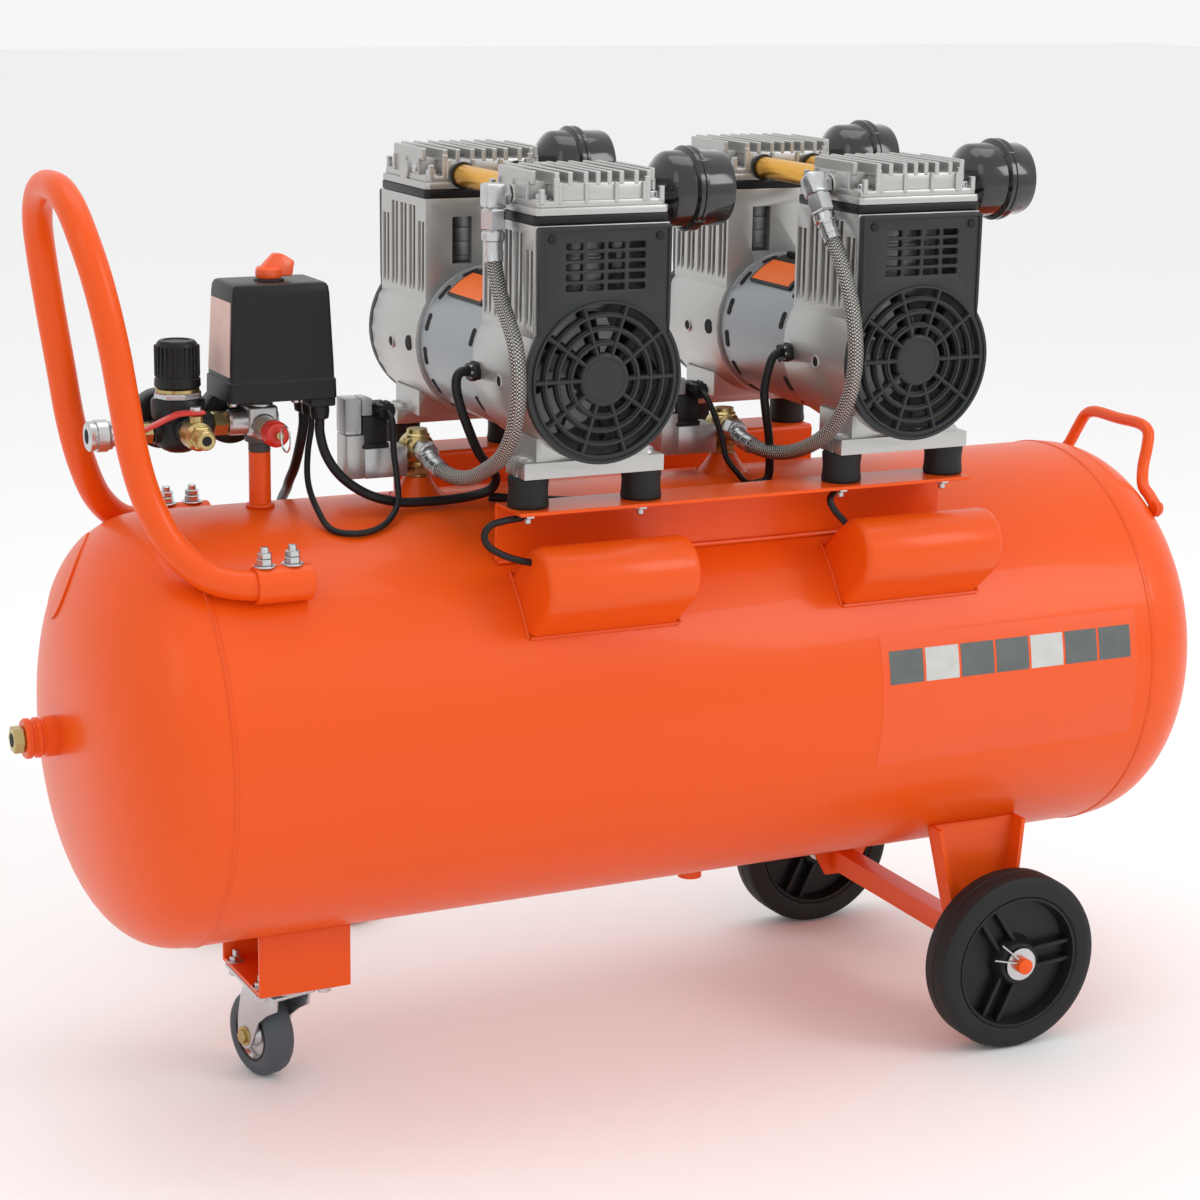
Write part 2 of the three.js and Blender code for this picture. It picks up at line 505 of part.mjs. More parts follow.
/** Safety valve on the manifold's front, and its wire pull ring. */
add('safety_valve', join(rod('y', 7, -24, -14 - GAP, [RISER_X + 2, 246], 6),
  rod('y', 10, -41, -23, [RISER_X + 2, 246], 12), rod('y', 3, -47, -40, [RISER_X + 2, 246], 8)), RED);
add('safety_ring', solid(new THREE.TorusGeometry(10, 1, 5, 14).rotateY(Math.PI / 2)
  .translate(RISER_X + 2, -58.5, 246)), ZINC);

// ---------------------------------------------------------------- cables and mains cord
/** Motor supply: switch gland along the shoulder, under the hose and up to the front crankcase. */
add('motor_cable', tube([[-303, -24, 253.2], [-303, -24, 243], [-300, -30, 225], [-290, -37, 208],
  [-270, -42, 193], [-244, -44, 184.5], [-218, -43, 182.5], [-195, -42, 182.5], [-175, -43.5, 184.5],
  [-162, -49, 190], [-161, -57, 201], [-171, -64, 213], [-182, -69, 226], [-194, -73, 250],
  [-201, -74, 268], [-204, -73.5, 284], [-202, -72.5, 291.5],
  [-198, ...GLAND], [-193.9, ...GLAND]], 4, 8, 36), BLACK);

/** Mains cord: from the switch over the rear shoulder, down the back and along the floor. */
const mainsRoute = [[-303, 15, 253.2], [-303, 15, 243], [-305, 19, 224], [-306, 29, 205], [-305, 46, 190],
  [-300, 66, 179.5], [-294, 95, 165], [-288, 128, 140.5], [-283, 158, 106], [-280, 181, 60],
  [-278, 191, 5], [-277, 193, -60], [-277, 193.5, -130], [-276.5, 194, -200], [-275, 197, -260],
  [-270, 212, -300], [-262, 236, -321], [-251, 268, -325], [-240, 300, -325], [-229, 332, -325],
  [-223.5, 348, -325]];
add('mains_cord', tube(mainsRoute, 4.2, 8, 60), BLACK);

/** The rest of the cord, wound into a neat coil on the floor behind the receiver. */
const COIL = { x: -256.1, y: 395, r: 46, low: -329.3, high: -295.5 };
add('mains_coil', turned('z', [[COIL.low, COIL.r - 4.8], [COIL.low, COIL.r + 4.8],
  [COIL.high, COIL.r + 4.8], [COIL.high, COIL.r - 4.8], [COIL.low, COIL.r - 4.8]],
[COIL.x, COIL.y], 24), BLACK);

/** Two-pin plug lying beside the coil, with the tail of the cord in its strain relief. */
add('mains_plug', join(tube([[-222, 349.6, -303], [-205, 350.4, -306], [-186, 351.4, -310],
  [-166, 352.6, -313]], 4.2, 8, 8),
rod('x', 8, -170, -156, [352.8, FLOOR + 16.2], 10, 12), rod('x', 16, -157, -122, [352.8, FLOOR + 16.2], 14),
[-9.5, 9.5].map((y) => rod('x', 2.4, -123, -103, [352.8 + y, FLOOR + 16.2], 8))), BLACK);

// ---------------------------------------------------------------- placing on the floor
/** The origin is on the floor under the middle of the machine, its cord left out. */
const bounds = new THREE.Box3();
for (const m of pieces.children) if (!m.name.startsWith('mains_')) bounds.expandByObject(m);
const middle = bounds.getCenter(new THREE.Vector3());
pieces.position.set(-middle.x, -middle.y, -FLOOR);

const machine = new THREE.Group();
machine.add(pieces);
export default machine;
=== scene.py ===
"""Looks of the twin stack compressor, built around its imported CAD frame.

Lengths in the pieces are millimetres about the middle of the receiver's axis; P() puts them in
the row frame in metres. Everything rides on the CAD body that carries it.
"""

from math import acos, asin, cos, degrees, hypot, pi, radians, sin, sqrt

import bmesh
import bpy
from mathutils import Matrix, Vector


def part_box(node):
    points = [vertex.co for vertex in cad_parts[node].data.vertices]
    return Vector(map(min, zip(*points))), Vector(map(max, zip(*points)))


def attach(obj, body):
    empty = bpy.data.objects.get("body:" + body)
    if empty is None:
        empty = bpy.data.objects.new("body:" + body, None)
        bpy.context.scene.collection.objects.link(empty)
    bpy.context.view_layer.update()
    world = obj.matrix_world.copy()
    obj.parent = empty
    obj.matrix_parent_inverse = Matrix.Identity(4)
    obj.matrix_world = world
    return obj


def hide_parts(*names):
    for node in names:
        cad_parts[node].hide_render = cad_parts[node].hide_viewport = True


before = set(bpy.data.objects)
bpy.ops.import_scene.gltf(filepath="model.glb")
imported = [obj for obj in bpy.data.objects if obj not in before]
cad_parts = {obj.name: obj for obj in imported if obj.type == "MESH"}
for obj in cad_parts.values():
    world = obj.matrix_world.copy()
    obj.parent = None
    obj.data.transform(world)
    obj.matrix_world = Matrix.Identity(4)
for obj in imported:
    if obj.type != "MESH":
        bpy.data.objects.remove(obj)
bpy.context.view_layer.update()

# ---- the frame's own numbers
TANK_R, SHELL, DEPTH, POWER = 180.0, 429.0, 92.0, 2.5  # radius, half shell, dished ends
PUMPS = {"left": -117.0, "right": 174.2}
FILTER_RING = {"left": 97, "right": 104}  # each filter's joint ring, from its pump's middle
SHAFT_Z = 297.6
FOOT_DX, FOOT_Y = 50.6, -136  # the front feet, from the pump's middle
CHECK_DX = -91  # check valve and unloader, from the pump's middle
HOSE_DX = -72  # the hose's upper end, from the pump's middle
HEAD_PORT = (-112, 440)  # y, z of the ports in the sides of each front head
GLAND = (-72, 294)  # y, z of the cable gland on each front crankcase
WHEEL = (292.7, -248.6)  # x, z of the axle
FLOOR = -329.6  # the floor under the receiver's axis
CASTER_X, CASTER_TURN = -335.0, radians(13)
RISER = (-346.5, 0)  # x, y of the pipe under the manifold
MANIFOLD_Z, SIDE_Z = 251.5, 247.5  # heights of the manifold's ports and of the side outlet
REG_X = -414.5
OUTLET = (REG_X, MANIFOLD_Z)
low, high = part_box("wheel_front")
AXIS_X, AXIS_Z = (low[0] + high[0]) / 2 - WHEEL[0] / 1000, -FLOOR / 1000


def P(x, y, z):
    return Vector((x / 1000 + AXIS_X, y / 1000, z / 1000 + AXIS_Z))


# ---- camera
camera = bpy.data.objects.new("camera", bpy.data.cameras.new("camera"))
bpy.context.collection.objects.link(camera)
camera.data.sensor_width = 36.0
camera.data.lens = 83.3
camera.data.clip_end = 50
az, el, roll = -0.4549, 0.2408, 0.0159
back = Vector((sin(az) * cos(el), -cos(az) * cos(el), sin(el)))
right = Vector((cos(az), sin(az), 0))
up = back.cross(right)
side = right * cos(roll) + up * sin(roll)
top = up * cos(roll) - right * sin(roll)
turn = Matrix((side, top, back)).transposed()
camera.matrix_world = Matrix.Translation(P(-1073.5, -2122.5, 652.3)) @ turn.to_4x4()
bpy.context.scene.camera = camera


# ---- materials
def put(node, **values):
    for key, value in values.items():
        node.inputs[key.replace("_", " ")].default_value = value
    return node


def finish(name, color, rough, metal=0.0, coat=0.0, grain=None, mottle=(9.0, 0.05), wear=0.0,
        transmission=0.0, spec=0.5):
    """A procedural finish: grain is (scale, strength) of the surface's own texture, mottle is
    (scale, amount) of slow colour change, wear how much the roughness wanders."""
    m = bpy.data.materials.new(name)
    m.use_nodes = True
    m.diffuse_color = (*color, 1)
    n, link = m.node_tree.nodes, m.node_tree.links.new
    bsdf = put(n["Principled BSDF"], Base_Color=(*color, 1), Roughness=rough, Metallic=metal,
        Coat_Weight=coat, Coat_Roughness=0.06, Transmission_Weight=transmission,
        Specular_IOR_Level=spec)
    at = n.new("ShaderNodeTexCoord").outputs["Object"]
    slow = put(n.new("ShaderNodeTexNoise"), Scale=mottle[0], Detail=4)
    link(at, slow.inputs["Vector"])
    mix = n.new("ShaderNodeMix")
    mix.data_type = "RGBA"
    put(mix, A=(*[c * (1 - mottle[1]) for c in color], 1),
        B=(*[min(1, c * (1 + mottle[1])) for c in color], 1))
    link(slow.outputs["Fac"], mix.inputs["Factor"])
    link(mix.outputs["Result"], bsdf.inputs["Base Color"])
    if wear:
        ramp = put(n.new("ShaderNodeMapRange"), To_Min=max(0.02, rough - wear), To_Max=rough + wear)
        link(slow.outputs["Fac"], ramp.inputs["Value"])
        link(ramp.outputs["Result"], bsdf.inputs["Roughness"])
    if grain:
        fine = put(n.new("ShaderNodeTexNoise"), Scale=grain[0], Detail=3)
        bump = put(n.new("ShaderNodeBump"), Strength=grain[1], Distance=0.0004)
        link(at, fine.inputs["Vector"])
        link(fine.outputs["Fac"], bump.inputs["Height"])
        link(bump.outputs["Normal"], bsdf.inputs["Normal"])
    return m


def braided(name):
    """Braided steel wire: two crossing diagonal waves over the hose's own length and turn."""
    m = finish(name, (0.60, 0.59, 0.56), 0.32, 0.9)
    n, link = m.node_tree.nodes, m.node_tree.links.new
    bsdf = n["Principled BSDF"]
    uv = n.new("ShaderNodeUVMap")
    uv.uv_map = "run"
    both = n.new("ShaderNodeMath")
    both.operation = "MULTIPLY"
    for i, lay in enumerate((33, -33)):
        place = put(n.new("ShaderNodeMapping"), Rotation=(0, 0, radians(lay)))
        wave = put(n.new("ShaderNodeTexWave"), Scale=1.35, Distortion=0.0)
        wave.bands_direction = "X"
        link(uv.outputs["UV"], place.inputs["Vector"])
        link(place.outputs["Vector"], wave.inputs["Vector"])
        link(wave.outputs["Fac"], both.inputs[i])
    bump = put(n.new("ShaderNodeBump"), Strength=0.9, Distance=0.0009)
    link(both.outputs["Value"], bump.inputs["Height"])
    link(bump.outputs["Normal"], bsdf.inputs["Normal"])
    # painted shade: the braid's colour goes near black where its bump is low, in the creases
    # between the wires
    crease_shade = n.new("ShaderNodeMix")
    crease_shade.data_type = "RGBA"
    put(crease_shade, A=(0.035, 0.033, 0.030, 1), B=(0.62, 0.61, 0.57, 1))
    ramp = put(n.new("ShaderNodeMapRange"), From_Max=0.45)
    link(both.outputs["Value"], ramp.inputs["Value"])
    link(ramp.outputs["Result"], crease_shade.inputs["Factor"])
    link(crease_shade.outputs["Result"], bsdf.inputs["Base Color"])
    return m


ORANGE = finish("orange_enamel", (0.80, 0.086, 0.003), 0.36, coat=0.12, spec=0.26,
    grain=(330, 0.06), mottle=(2.2, 0.05), wear=0.03)
ORANGE_WELD = finish("orange_weld", (0.76, 0.078, 0.003), 0.38, coat=0.12, spec=0.26,
    grain=(160, 0.8), mottle=(60, 0.10))
CAST = finish("cast_aluminium", (0.50, 0.498, 0.485), 0.36, 0.80, grain=(520, 0.16),
    mottle=(14, 0.06), wear=0.05)
# dark metal: painted shade on the floors of the crankcase's fin slots; the same colour also serves
# the rotor core and the manifold's threaded neck
DARK_METAL_AND_SHADE = finish("dark_metal_and_painted_shade", (0.085, 0.085, 0.082), 0.5, 0.5, grain=(420, 0.3))
LINER = finish("cylinder_liner", (0.30, 0.30, 0.30), 0.4, 0.8, grain=(420, 0.2))
MACHINED = finish("machined_aluminium", (0.50, 0.50, 0.50), 0.32, 0.88, grain=(240, 0.05),
    mottle=(40, 0.04), wear=0.04)
ZINC = finish("zinc_plate", (0.56, 0.57, 0.58), 0.26, 0.95, grain=(260, 0.10), mottle=(30, 0.08),
    wear=0.06)
BRASS = finish("brass", (0.50, 0.39, 0.17), 0.28, 0.95, grain=(300, 0.10), mottle=(40, 0.10),
    wear=0.06)
GOLD = finish("anodised_gold", (0.80, 0.42, 0.06), 0.27, 0.9, mottle=(9, 0.03))
SHELL_GREY = finish("motor_shell_paint", (0.31, 0.335, 0.355), 0.36, 0.60, coat=0.2,
    grain=(700, 0.05), mottle=(8, 0.05), wear=0.04)
CHARCOAL = finish("charcoal_plastic", (0.023, 0.026, 0.027), 0.42, spec=0.32, grain=(900, 0.22),
    mottle=(18, 0.18), wear=0.06)
BLACK = finish("black_plastic", (0.008, 0.0085, 0.009), 0.38, spec=0.3, grain=(800, 0.12),
    mottle=(20, 0.15), wear=0.05)
GLOSS_BLACK = finish("gloss_black", (0.006, 0.006, 0.007), 0.16, coat=0.55, spec=0.5,
    grain=(200, 0.03), mottle=(20, 0.15), wear=0.03)
# near-black painted shade: dark discs and plates laid over holes, bores and sockets in place of
# their shaded insides
HOLE_SHADE = finish("painted_hole_shade", (0.004, 0.004, 0.004), 0.8, grain=(300, 0.1))
RUBBER = finish("black_rubber", (0.014, 0.0145, 0.015), 0.6, spec=0.28, grain=(650, 0.35),
    mottle=(24, 0.20), wear=0.08)
SHEATH = finish("cable_sheath", (0.007, 0.007, 0.008), 0.42, spec=0.3, grain=(500, 0.15),
    mottle=(30, 0.15), wear=0.05)
GREY_TREAD = finish("grey_tread", (0.070, 0.083, 0.096), 0.55, spec=0.3, grain=(420, 0.30),
    mottle=(22, 0.18), wear=0.08)
RED = finish("red_plastic", (0.56, 0.018, 0.008), 0.36, coat=0.15, grain=(400, 0.08),
    mottle=(30, 0.08), wear=0.04)
RED_ORANGE = finish("red_orange_plastic", (0.85, 0.10, 0.012), 0.36, coat=0.3, grain=(400, 0.08),
    mottle=(30, 0.08))
STICKER = finish("orange_sticker", (0.86, 0.16, 0.02), 0.5, grain=(600, 0.04), mottle=(40, 0.04))
STICKER_PANEL = finish("sticker_panel", (0.80, 0.085, 0.006), 0.42, grain=(600, 0.04),
    mottle=(30, 0.03))
TILE_GREY = finish("sticker_tile_grey", (0.105, 0.12, 0.115), 0.45, grain=(500, 0.04),
    mottle=(60, 0.25))
TILE_PALE = finish("sticker_tile_pale", (0.55, 0.56, 0.54), 0.45, grain=(500, 0.04),
    mottle=(60, 0.15))
DIAL = finish("dial_white", (0.80, 0.80, 0.78), 0.5, grain=(700, 0.03), mottle=(30, 0.03))
PALE = finish("pale_label", (0.72, 0.52, 0.47), 0.5, grain=(500, 0.05), mottle=(60, 0.10))
CLEAR = finish("clear_connector", (0.62, 0.65, 0.67), 0.10, grain=(300, 0.04), mottle=(30, 0.05),
    transmission=0.55)
TIE = finish("nylon_tie", (0.75, 0.75, 0.72), 0.4, grain=(500, 0.1), mottle=(40, 0.05))
BRAID = braided("steel_braid")


# ---- building pieces
def smoothed(control, steps):
    """Centripetal Catmull-Rom through the control points, as evenly spaced points."""
    pts = [Vector(p) for p in control]
    pts = [pts[0] * 2 - pts[1]] + pts + [pts[-1] * 2 - pts[-2]]
    dense = []
    for a, b, c, d in zip(pts, pts[1:], pts[2:], pts[3:]):
        t = [0.0]
        for p, q in ((a, b), (b, c), (c, d)):
            t.append(t[-1] + max((q - p).length, 1e-6) ** 0.5)
        for i in range(16):
            s = t[1] + (t[2] - t[1]) * i / 16
            A = [a.lerp(b, (s - t[0]) / (t[1] - t[0])), b.lerp(c, (s - t[1]) / (t[2] - t[1])),
                c.lerp(d, (s - t[2]) / (t[3] - t[2]))]
            B = [A[0].lerp(A[1], (s - t[0]) / (t[2] - t[0])), A[1].lerp(A[2],
                (s - t[1]) / (t[3] - t[1]))]
            dense.append(B[0].lerp(B[1], (s - t[1]) / (t[2] - t[1])))
    dense.append(pts[-2])
    run = [0.0]
    for p, q in zip(dense, dense[1:]):
        run.append(run[-1] + (q - p).length)
    out, k = [], 0
    for i in range(steps + 1):
        s = run[-1] * i / steps
        while k < len(run) - 2 and run[k + 1] < s:
            k += 1
        span = max(run[k + 1] - run[k], 1e-9)
        out.append(dense[k].lerp(dense[k + 1], (s - run[k]) / span))
    return out


def arc(cx, cy, r, a, b, n):
    return [(cx + r * cos(radians(a + (b - a) * i / n)), cy + r * sin(radians(a + (b - a) * i / n)))
        for i in range(n + 1)]


def rounded(x0, x1, y0, y1, r, n=5):
    """A rectangle with its corners rounded."""
    return (arc(x1 - r, y1 - r, r, 0, 90, n) + arc(x0 + r, y1 - r, r, 90, 180, n)
        + arc(x0 + r, y0 + r, r, 180, 270, n) + arc(x1 - r, y0 + r, r, 270, 360, n))


def closed(half, m=0.0):
    """A profile joined up with its mirror image about the plane m, for a solid of revolution."""
    return half + [(2 * m - s, r) for s, r in half[::-1]] + half[:1]


AXES = {"x": lambda s, u, v: (s, u, v), "y": lambda s, u, v: (u, s, v), "z": lambda s, u,
    v: (u, v, s)}


class Piece:
    """Collects closed shapes of several materials into one object, which rides on one body and
    stands for the CAD node that it is named after."""

    def __init__(self, name, body="machine", move=None):
        self.name, self.body, self.mats = name, body, []
        self.bm = bmesh.new()
        self.uv = self.bm.loops.layers.uv.new("run")
        self.move = move or (lambda x, y, z: (x, y, z))

    def material(self, m):
        if m not in self.mats:
            self.mats.append(m)
        return self.mats.index(m)

    def vert(self, p):
        return self.bm.verts.new(P(*self.move(*p)))

    def faces(self, verts, loops, mat):
        """Adds faces over lists of vertex numbers, leaving out any that would lie double."""
        k, made = self.material(mat), []
        for loop in loops:
            try:
                face = self.bm.faces.new([verts[i] for i in loop])
            except ValueError:
                continue
            face.material_index = k
            made.append(face)
        return made

    def shell(self, points, faces, mat, bevel=0.0, segments=2, limit=25):
        """Adds a closed shell given in millimetres; bevel rounds its sharp edges."""
        made = self.faces([self.vert(p) for p in points], faces, mat)
        bmesh.ops.recalc_face_normals(self.bm, faces=made)
        if bevel:
            edges = {e for f in made for e in f.edges if len(e.link_faces) == 2
                and e.calc_face_angle(0) > radians(limit)}
            bmesh.ops.bevel(self.bm, geom=list(edges), offset=bevel / 1000, segments=segments,
                affect="EDGES", profile=0.5, clamp_overlap=True, material=-1)
        return self

    def loft(self, sections, mat, **edges):
        """A closed shell through sections of equally many points, capped at both ends."""
        n, last = len(sections[0]), (len(sections) - 1) * len(sections[0])
        faces = [tuple(range(n)), tuple(range(last + n - 1, last - 1, -1))]
        faces += [(k + i, k + (i + 1) % n, k + n + (i + 1) % n, k + n + i)
            for k in range(0, last, n) for i in range(n)]
        return self.shell([p for section in sections for p in section], faces, mat, **edges)

    def turned(self, axis, profile, at, mat, sides=48):
        """A solid of revolution from [distance along the axis, radius] points."""
        points, rows, faces = [], [], []
        for s, r in profile:
            if r <= 1e-6:
                rows.append([len(points)] * sides)
                points.append(AXES[axis](s, *at))
                continue
            rows.append(list(range(len(points), len(points) + sides)))
            for i in range(sides):
                a = radians(360 * i / sides)
                points.append(AXES[axis](s, at[0] + r * cos(a), at[1] + r * sin(a)))
        for lo, hi in zip(rows, rows[1:]):
            for i in range(sides):
                j = (i + 1) % sides
                f = list(dict.fromkeys((lo[i], lo[j], hi[j], hi[i])))
                if len(f) > 2:
                    faces.append(f)
        return self.shell(points, faces, mat)

    def rod(self, axis, r, a, b, at, mat, sides=32, edge=0.7):
        a, b = sorted((a, b))
        edge = min(edge, (b - a) / 3, r / 3)
        return self.turned(axis, [(a, 0), (a, r - edge), (a + edge, r), (b - edge, r),
            (b, r - edge), (b, 0)], at, mat, sides)

    def ring(self, axis, r_in, r_out, a, b, at, mat, sides=48, edge=0.4):
        a, b = sorted((a, b))
        return self.turned(axis, [(a + edge, r_out), (b - edge, r_out), (b, r_out - edge),
            (b, r_in + edge), (b - edge, r_in), (a + edge, r_in), (a, r_in + edge),
            (a, r_out - edge), (a + edge, r_out)], at, mat, sides)

    def box(self, x0, x1, y0, y1, z0, z1, mat, edge=0.8, segments=2, spin=None):
        """A box with rounded edges; spin is (axis, degrees, centre u, centre v)."""
        pts = [(x, y, z) for x in (x0, x1) for y in (y0, y1) for z in (z0, z1)]
        if spin:
            axis, deg, u, v = spin
            c, s = cos(radians(deg)), sin(radians(deg))

            def about(a, b):
                return u + (a - u) * c - (b - v) * s, v + (a - u) * s + (b - v) * c
            if axis == "y":
                pts = [(about(x, z)[0], y, about(x, z)[1]) for x, y, z in pts]
            else:
                pts = [(*about(x, y), z) for x, y, z in pts]
        faces = [(0, 1, 3, 2), (4, 6, 7, 5), (0, 4, 5, 1), (2, 3, 7, 6), (0, 2, 6, 4), (1, 5, 7, 3)]
        return self.shell(pts, faces, mat, bevel=edge, segments=segments)

    def tube(self, control, r, mat, steps, sides=20):
        """A round tube along a smooth route, its surface marked with length and turn."""
        line = smoothed(control, steps)
        tangent = [(line[min(i + 1, steps)] - line[max(i - 1, 0)]).normalized()
            for i in range(steps + 1)]
        normal = tangent[0].orthogonal().normalized()
        verts, run = [], []
        for i, (p, t) in enumerate(zip(line, tangent)):
            normal = (normal - t * normal.dot(t)).normalized()
            other = t.cross(normal)
            run.append(run[-1] + (p - line[i - 1]).length if i else 0)
            turns = [2 * pi * k / sides for k in range(sides)]
            verts.append([self.vert(p + normal * (r * cos(a)) + other * (r * sin(a)))
                for a in turns])
        made = []
        for i in range(steps):
            for k in range(sides):
                corners = (i, k), (i, k + 1), (i + 1, k + 1), (i + 1, k)
                face = self.bm.faces.new([verts[a][b % sides] for a, b in corners])
                for loop, (a, b) in zip(face.loops, corners):
                    loop[self.uv].uv = run[a] / 10, b / sides * 2 * pi * r / 10
                made.append(face)
        made.append(self.bm.faces.new(verts[0]))
        made.append(self.bm.faces.new(verts[-1][::-1]))
        k = self.material(mat)
        for f in made:
            f.material_index = k
        bmesh.ops.recalc_face_normals(self.bm, faces=made)
        return self

    def plate(self, outline, holes, lo, hi, axis, mat, edge=0.5):
        """A flat plate with any holes, between lo and hi along the axis, its edges rounded."""
        lo, hi = sorted((lo, hi))
        curve = bpy.data.curves.new("tmp", "CURVE")
        curve.dimensions = "2D"
        curve.fill_mode = "BOTH"
        curve.extrude = (hi - lo) / 2 - edge
        curve.bevel_depth = edge
        curve.bevel_resolution = 1
        curve.offset = -edge
        for loop in [outline, *holes]:
            spline = curve.splines.new("POLY")
            spline.points.add(len(loop) - 1)
            for q, (u, v) in zip(spline.points, loop):
                q.co = (u, v, 0, 1)
            spline.use_cyclic_u = True
        obj = bpy.data.objects.new("tmp", curve)
        bpy.context.collection.objects.link(obj)
        bpy.context.view_layer.update()
        mesh = bpy.data.meshes.new_from_object(
            obj.evaluated_get(bpy.context.evaluated_depsgraph_get()))
        src = bmesh.new()
        src.from_mesh(mesh)
        bmesh.ops.remove_doubles(src, verts=src.verts, dist=0.02)
        mid = (lo + hi) / 2
        verts = [self.vert(AXES[axis](mid + v.co.z, v.co.x, v.co.y)) for v in src.verts]
        src.verts.index_update()
        made = self.faces(verts, [[v.index for v in f.verts] for f in src.faces], mat)
        bmesh.ops.recalc_face_normals(self.bm, faces=made)
        src.free()
        bpy.data.objects.remove(obj)
        bpy.data.meshes.remove(mesh)
        return self

    def bulk(self, mat, bevel=0.8, segments=2, limit=30, paint=None):
        """Takes the CAD node's own shape, with its edges rounded; paint(x, y, z) of a face's
        middle, in millimetres, may name another material for it."""
        src = bmesh.new()
        src.from_mesh(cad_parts[self.name].data)
        bmesh.ops.remove_doubles(src, verts=src.verts, dist=2e-5)
        bmesh.ops.dissolve_limit(src, angle_limit=radians(1.0), verts=src.verts, edges=src.edges)
        sharp = [e for e in src.edges if len(e.link_faces) == 2
            and e.calc_face_angle(0) > radians(limit)]
        bmesh.ops.bevel(src, geom=sharp, offset=bevel / 1000, segments=segments, affect="EDGES",
            profile=0.5, clamp_overlap=True)
        src.verts.index_update()
        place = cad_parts[self.name].matrix_world
        verts = [self.bm.verts.new(place @ v.co) for v in src.verts]
        for face in self.faces(verts, [[v.index for v in f.verts] for f in src.faces], mat):
            c = face.calc_center_median() * 1000
            other = paint and paint(c.x - AXIS_X * 1000, c.y, c.z - AXIS_Z * 1000)
            if other:
                face.material_index = self.material(other)
        src.free()
        return self

    def done(self, slot=None, stands_for_node=True):
        mesh = bpy.data.meshes.new(f"{self.name}_looks")
        for f in self.bm.faces:
            f.smooth = True
        for e in self.bm.edges:
            e.smooth = len(e.link_faces) == 2 and e.calc_face_angle(0) < radians(32)
        self.bm.to_mesh(mesh)
        self.bm.free()
        for m in self.mats:
            mesh.materials.append(m)
        obj = bpy.data.objects.new(mesh.name, mesh)
        bpy.context.collection.objects.link(obj)
        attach(obj, self.body)
        if stands_for_node:
            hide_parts(self.name)
        return obj


def bolt(p, axis, at, s, r, h, mat=ZINC, out=1, washer=True):
    """A hex head of radius r and height h whose seat is at s, pointing along out."""
    a, b = sorted((s, s + out * h))
    p.rod(axis, r, a, b, at, mat, 6, 0.5)
    if washer:
        a, b = sorted((s - out * 0.1, s + out * 1.2))
        p.rod(axis, r * 1.45, a, b, at, mat, 24, 0.3)


# ---- mains cord
CORD_R = 4.2
cord_route = [(-303, 15, 253.2), (-303, 15, 243), (-305, 19, 224), (-306, 29, 205), (-305, 46, 190),
    (-300, 66, 179.5), (-294, 95, 165), (-288, 128, 140.5), (-283, 158, 106), (-280, 181, 60),
    (-278, 191, 5), (-277, 193, -60), (-277, 193.5, -130), (-276.5, 194, -200), (-275, 197, -260),
    (-270, 212, -300), (-262, 236, -321), (-251, 268, -325), (-240, 300, -325), (-229, 332, -325),
    (-223.5, 348, -325)]
COIL_X, COIL_Y, COIL_R, COIL_PITCH = -256.1, 395.0, 46.0, 8.8
start, turns = radians(-19), radians(1009)
STEPS = 42
coil = []
for i in range(STEPS + 1):
    a = start + turns * i / STEPS
    coil.append((COIL_X + COIL_R * cos(a), COIL_Y + COIL_R * sin(a), -325
        + COIL_PITCH * turns / (2 * pi) * i / STEPS))
tail = [(-240, 349.1, -300.6), (-222, 349.6, -303), (-205, 350.4, -306), (-186, 351.4, -310),
    (-168, 352.6, -313.2)]
line = [P(*p) for p in smoothed(cord_route + coil + tail, 620)]
data = bpy.data.curves.new("mains_cord_looks", "CURVE")
data.dimensions = "3D"
data.bevel_depth = CORD_R / 1000
data.bevel_resolution = 4
data.use_fill_caps = True
spline = data.splines.new("POLY")
spline.points.add(len(line) - 1)
for q, p in zip(spline.points, line):
    q.co = (*p, 1)
data.materials.append(SHEATH)
cord = bpy.data.objects.new("mains_cord_looks", data)
bpy.context.collection.objects.link(cord)
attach(cord, "machine")
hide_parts("mains_cord", "mains_coil")

PLUG = (352.8, FLOOR + 16.2)
plug = Piece("mains_plug")
plug.turned("x", [(-184, 0), (-184, 5.0), (-181, 5.4), (-178, 4.9), (-175, 5.9), (-172, 5.4),
    (-169, 6.8), (-166, 6.2), (-163, 8.0), (-156, 11), (-152, 15.2), (-146, 16), (-128, 16),
    (-123, 14.5), (-122, 12), (-122, 0)], PLUG, BLACK, 40)
for dy in (-9.5, 9.5):
    plug.rod("x", 2.4, -122.5, -104, (PLUG[0] + dy, PLUG[1]), ZINC, 20, 1.0)
plug_looks = plug.done()


# ---- receiver
def dish(side, n=22):
    out = []
    for i in range(n + 1):
        t = sin(pi / 2 * i / n)
        out.append((side * (SHELL + DEPTH * t), TANK_R * max(0.0, 1 - t ** POWER) ** (1 / POWER)))
    return out


def weld(p, axis, r, s, at, width=3.0, height=1.4, sides=120):
    """A rippled weld bead round an axis."""
    p.turned(axis, [(s - width, r - 0.6), (s - width * 0.5, r + height * 0.8), (s, r + height),
        (s + width * 0.5, r + height * 0.8), (s + width, r - 0.6)], at, ORANGE_WELD, sides)


def seam(p, points, r, steps):
    """A straight or curved weld run."""
    p.tube(points, r, ORANGE_WELD, steps, 8)


tank = Piece("receiver")
tank.turned("x", dish(-1)[::-1] + dish(1), (0, 0), ORANGE, 160)
for s in (-1, 1):
    weld(tank, "x", TANK_R, s * (SHELL + 1), (0, 0), width=3.2, height=0.9, sides=200)
# end bung with its threaded collar
tank.turned("x", [(-549, 9), (-549, 15.2), (-547.5, 16.5), (-544, 16.5), (-543, 15), (-541, 15),
    (-540, 16.5), (-536.5, 16.5), (-535.5, 15), (-533.5, 15), (-532.5, 16.5), (-514, 16.5)], (0, 5),
    ORANGE, 48)
weld(tank, "x", 16.5, -519, (0, 5), width=2.6, height=2.2, sides=60)
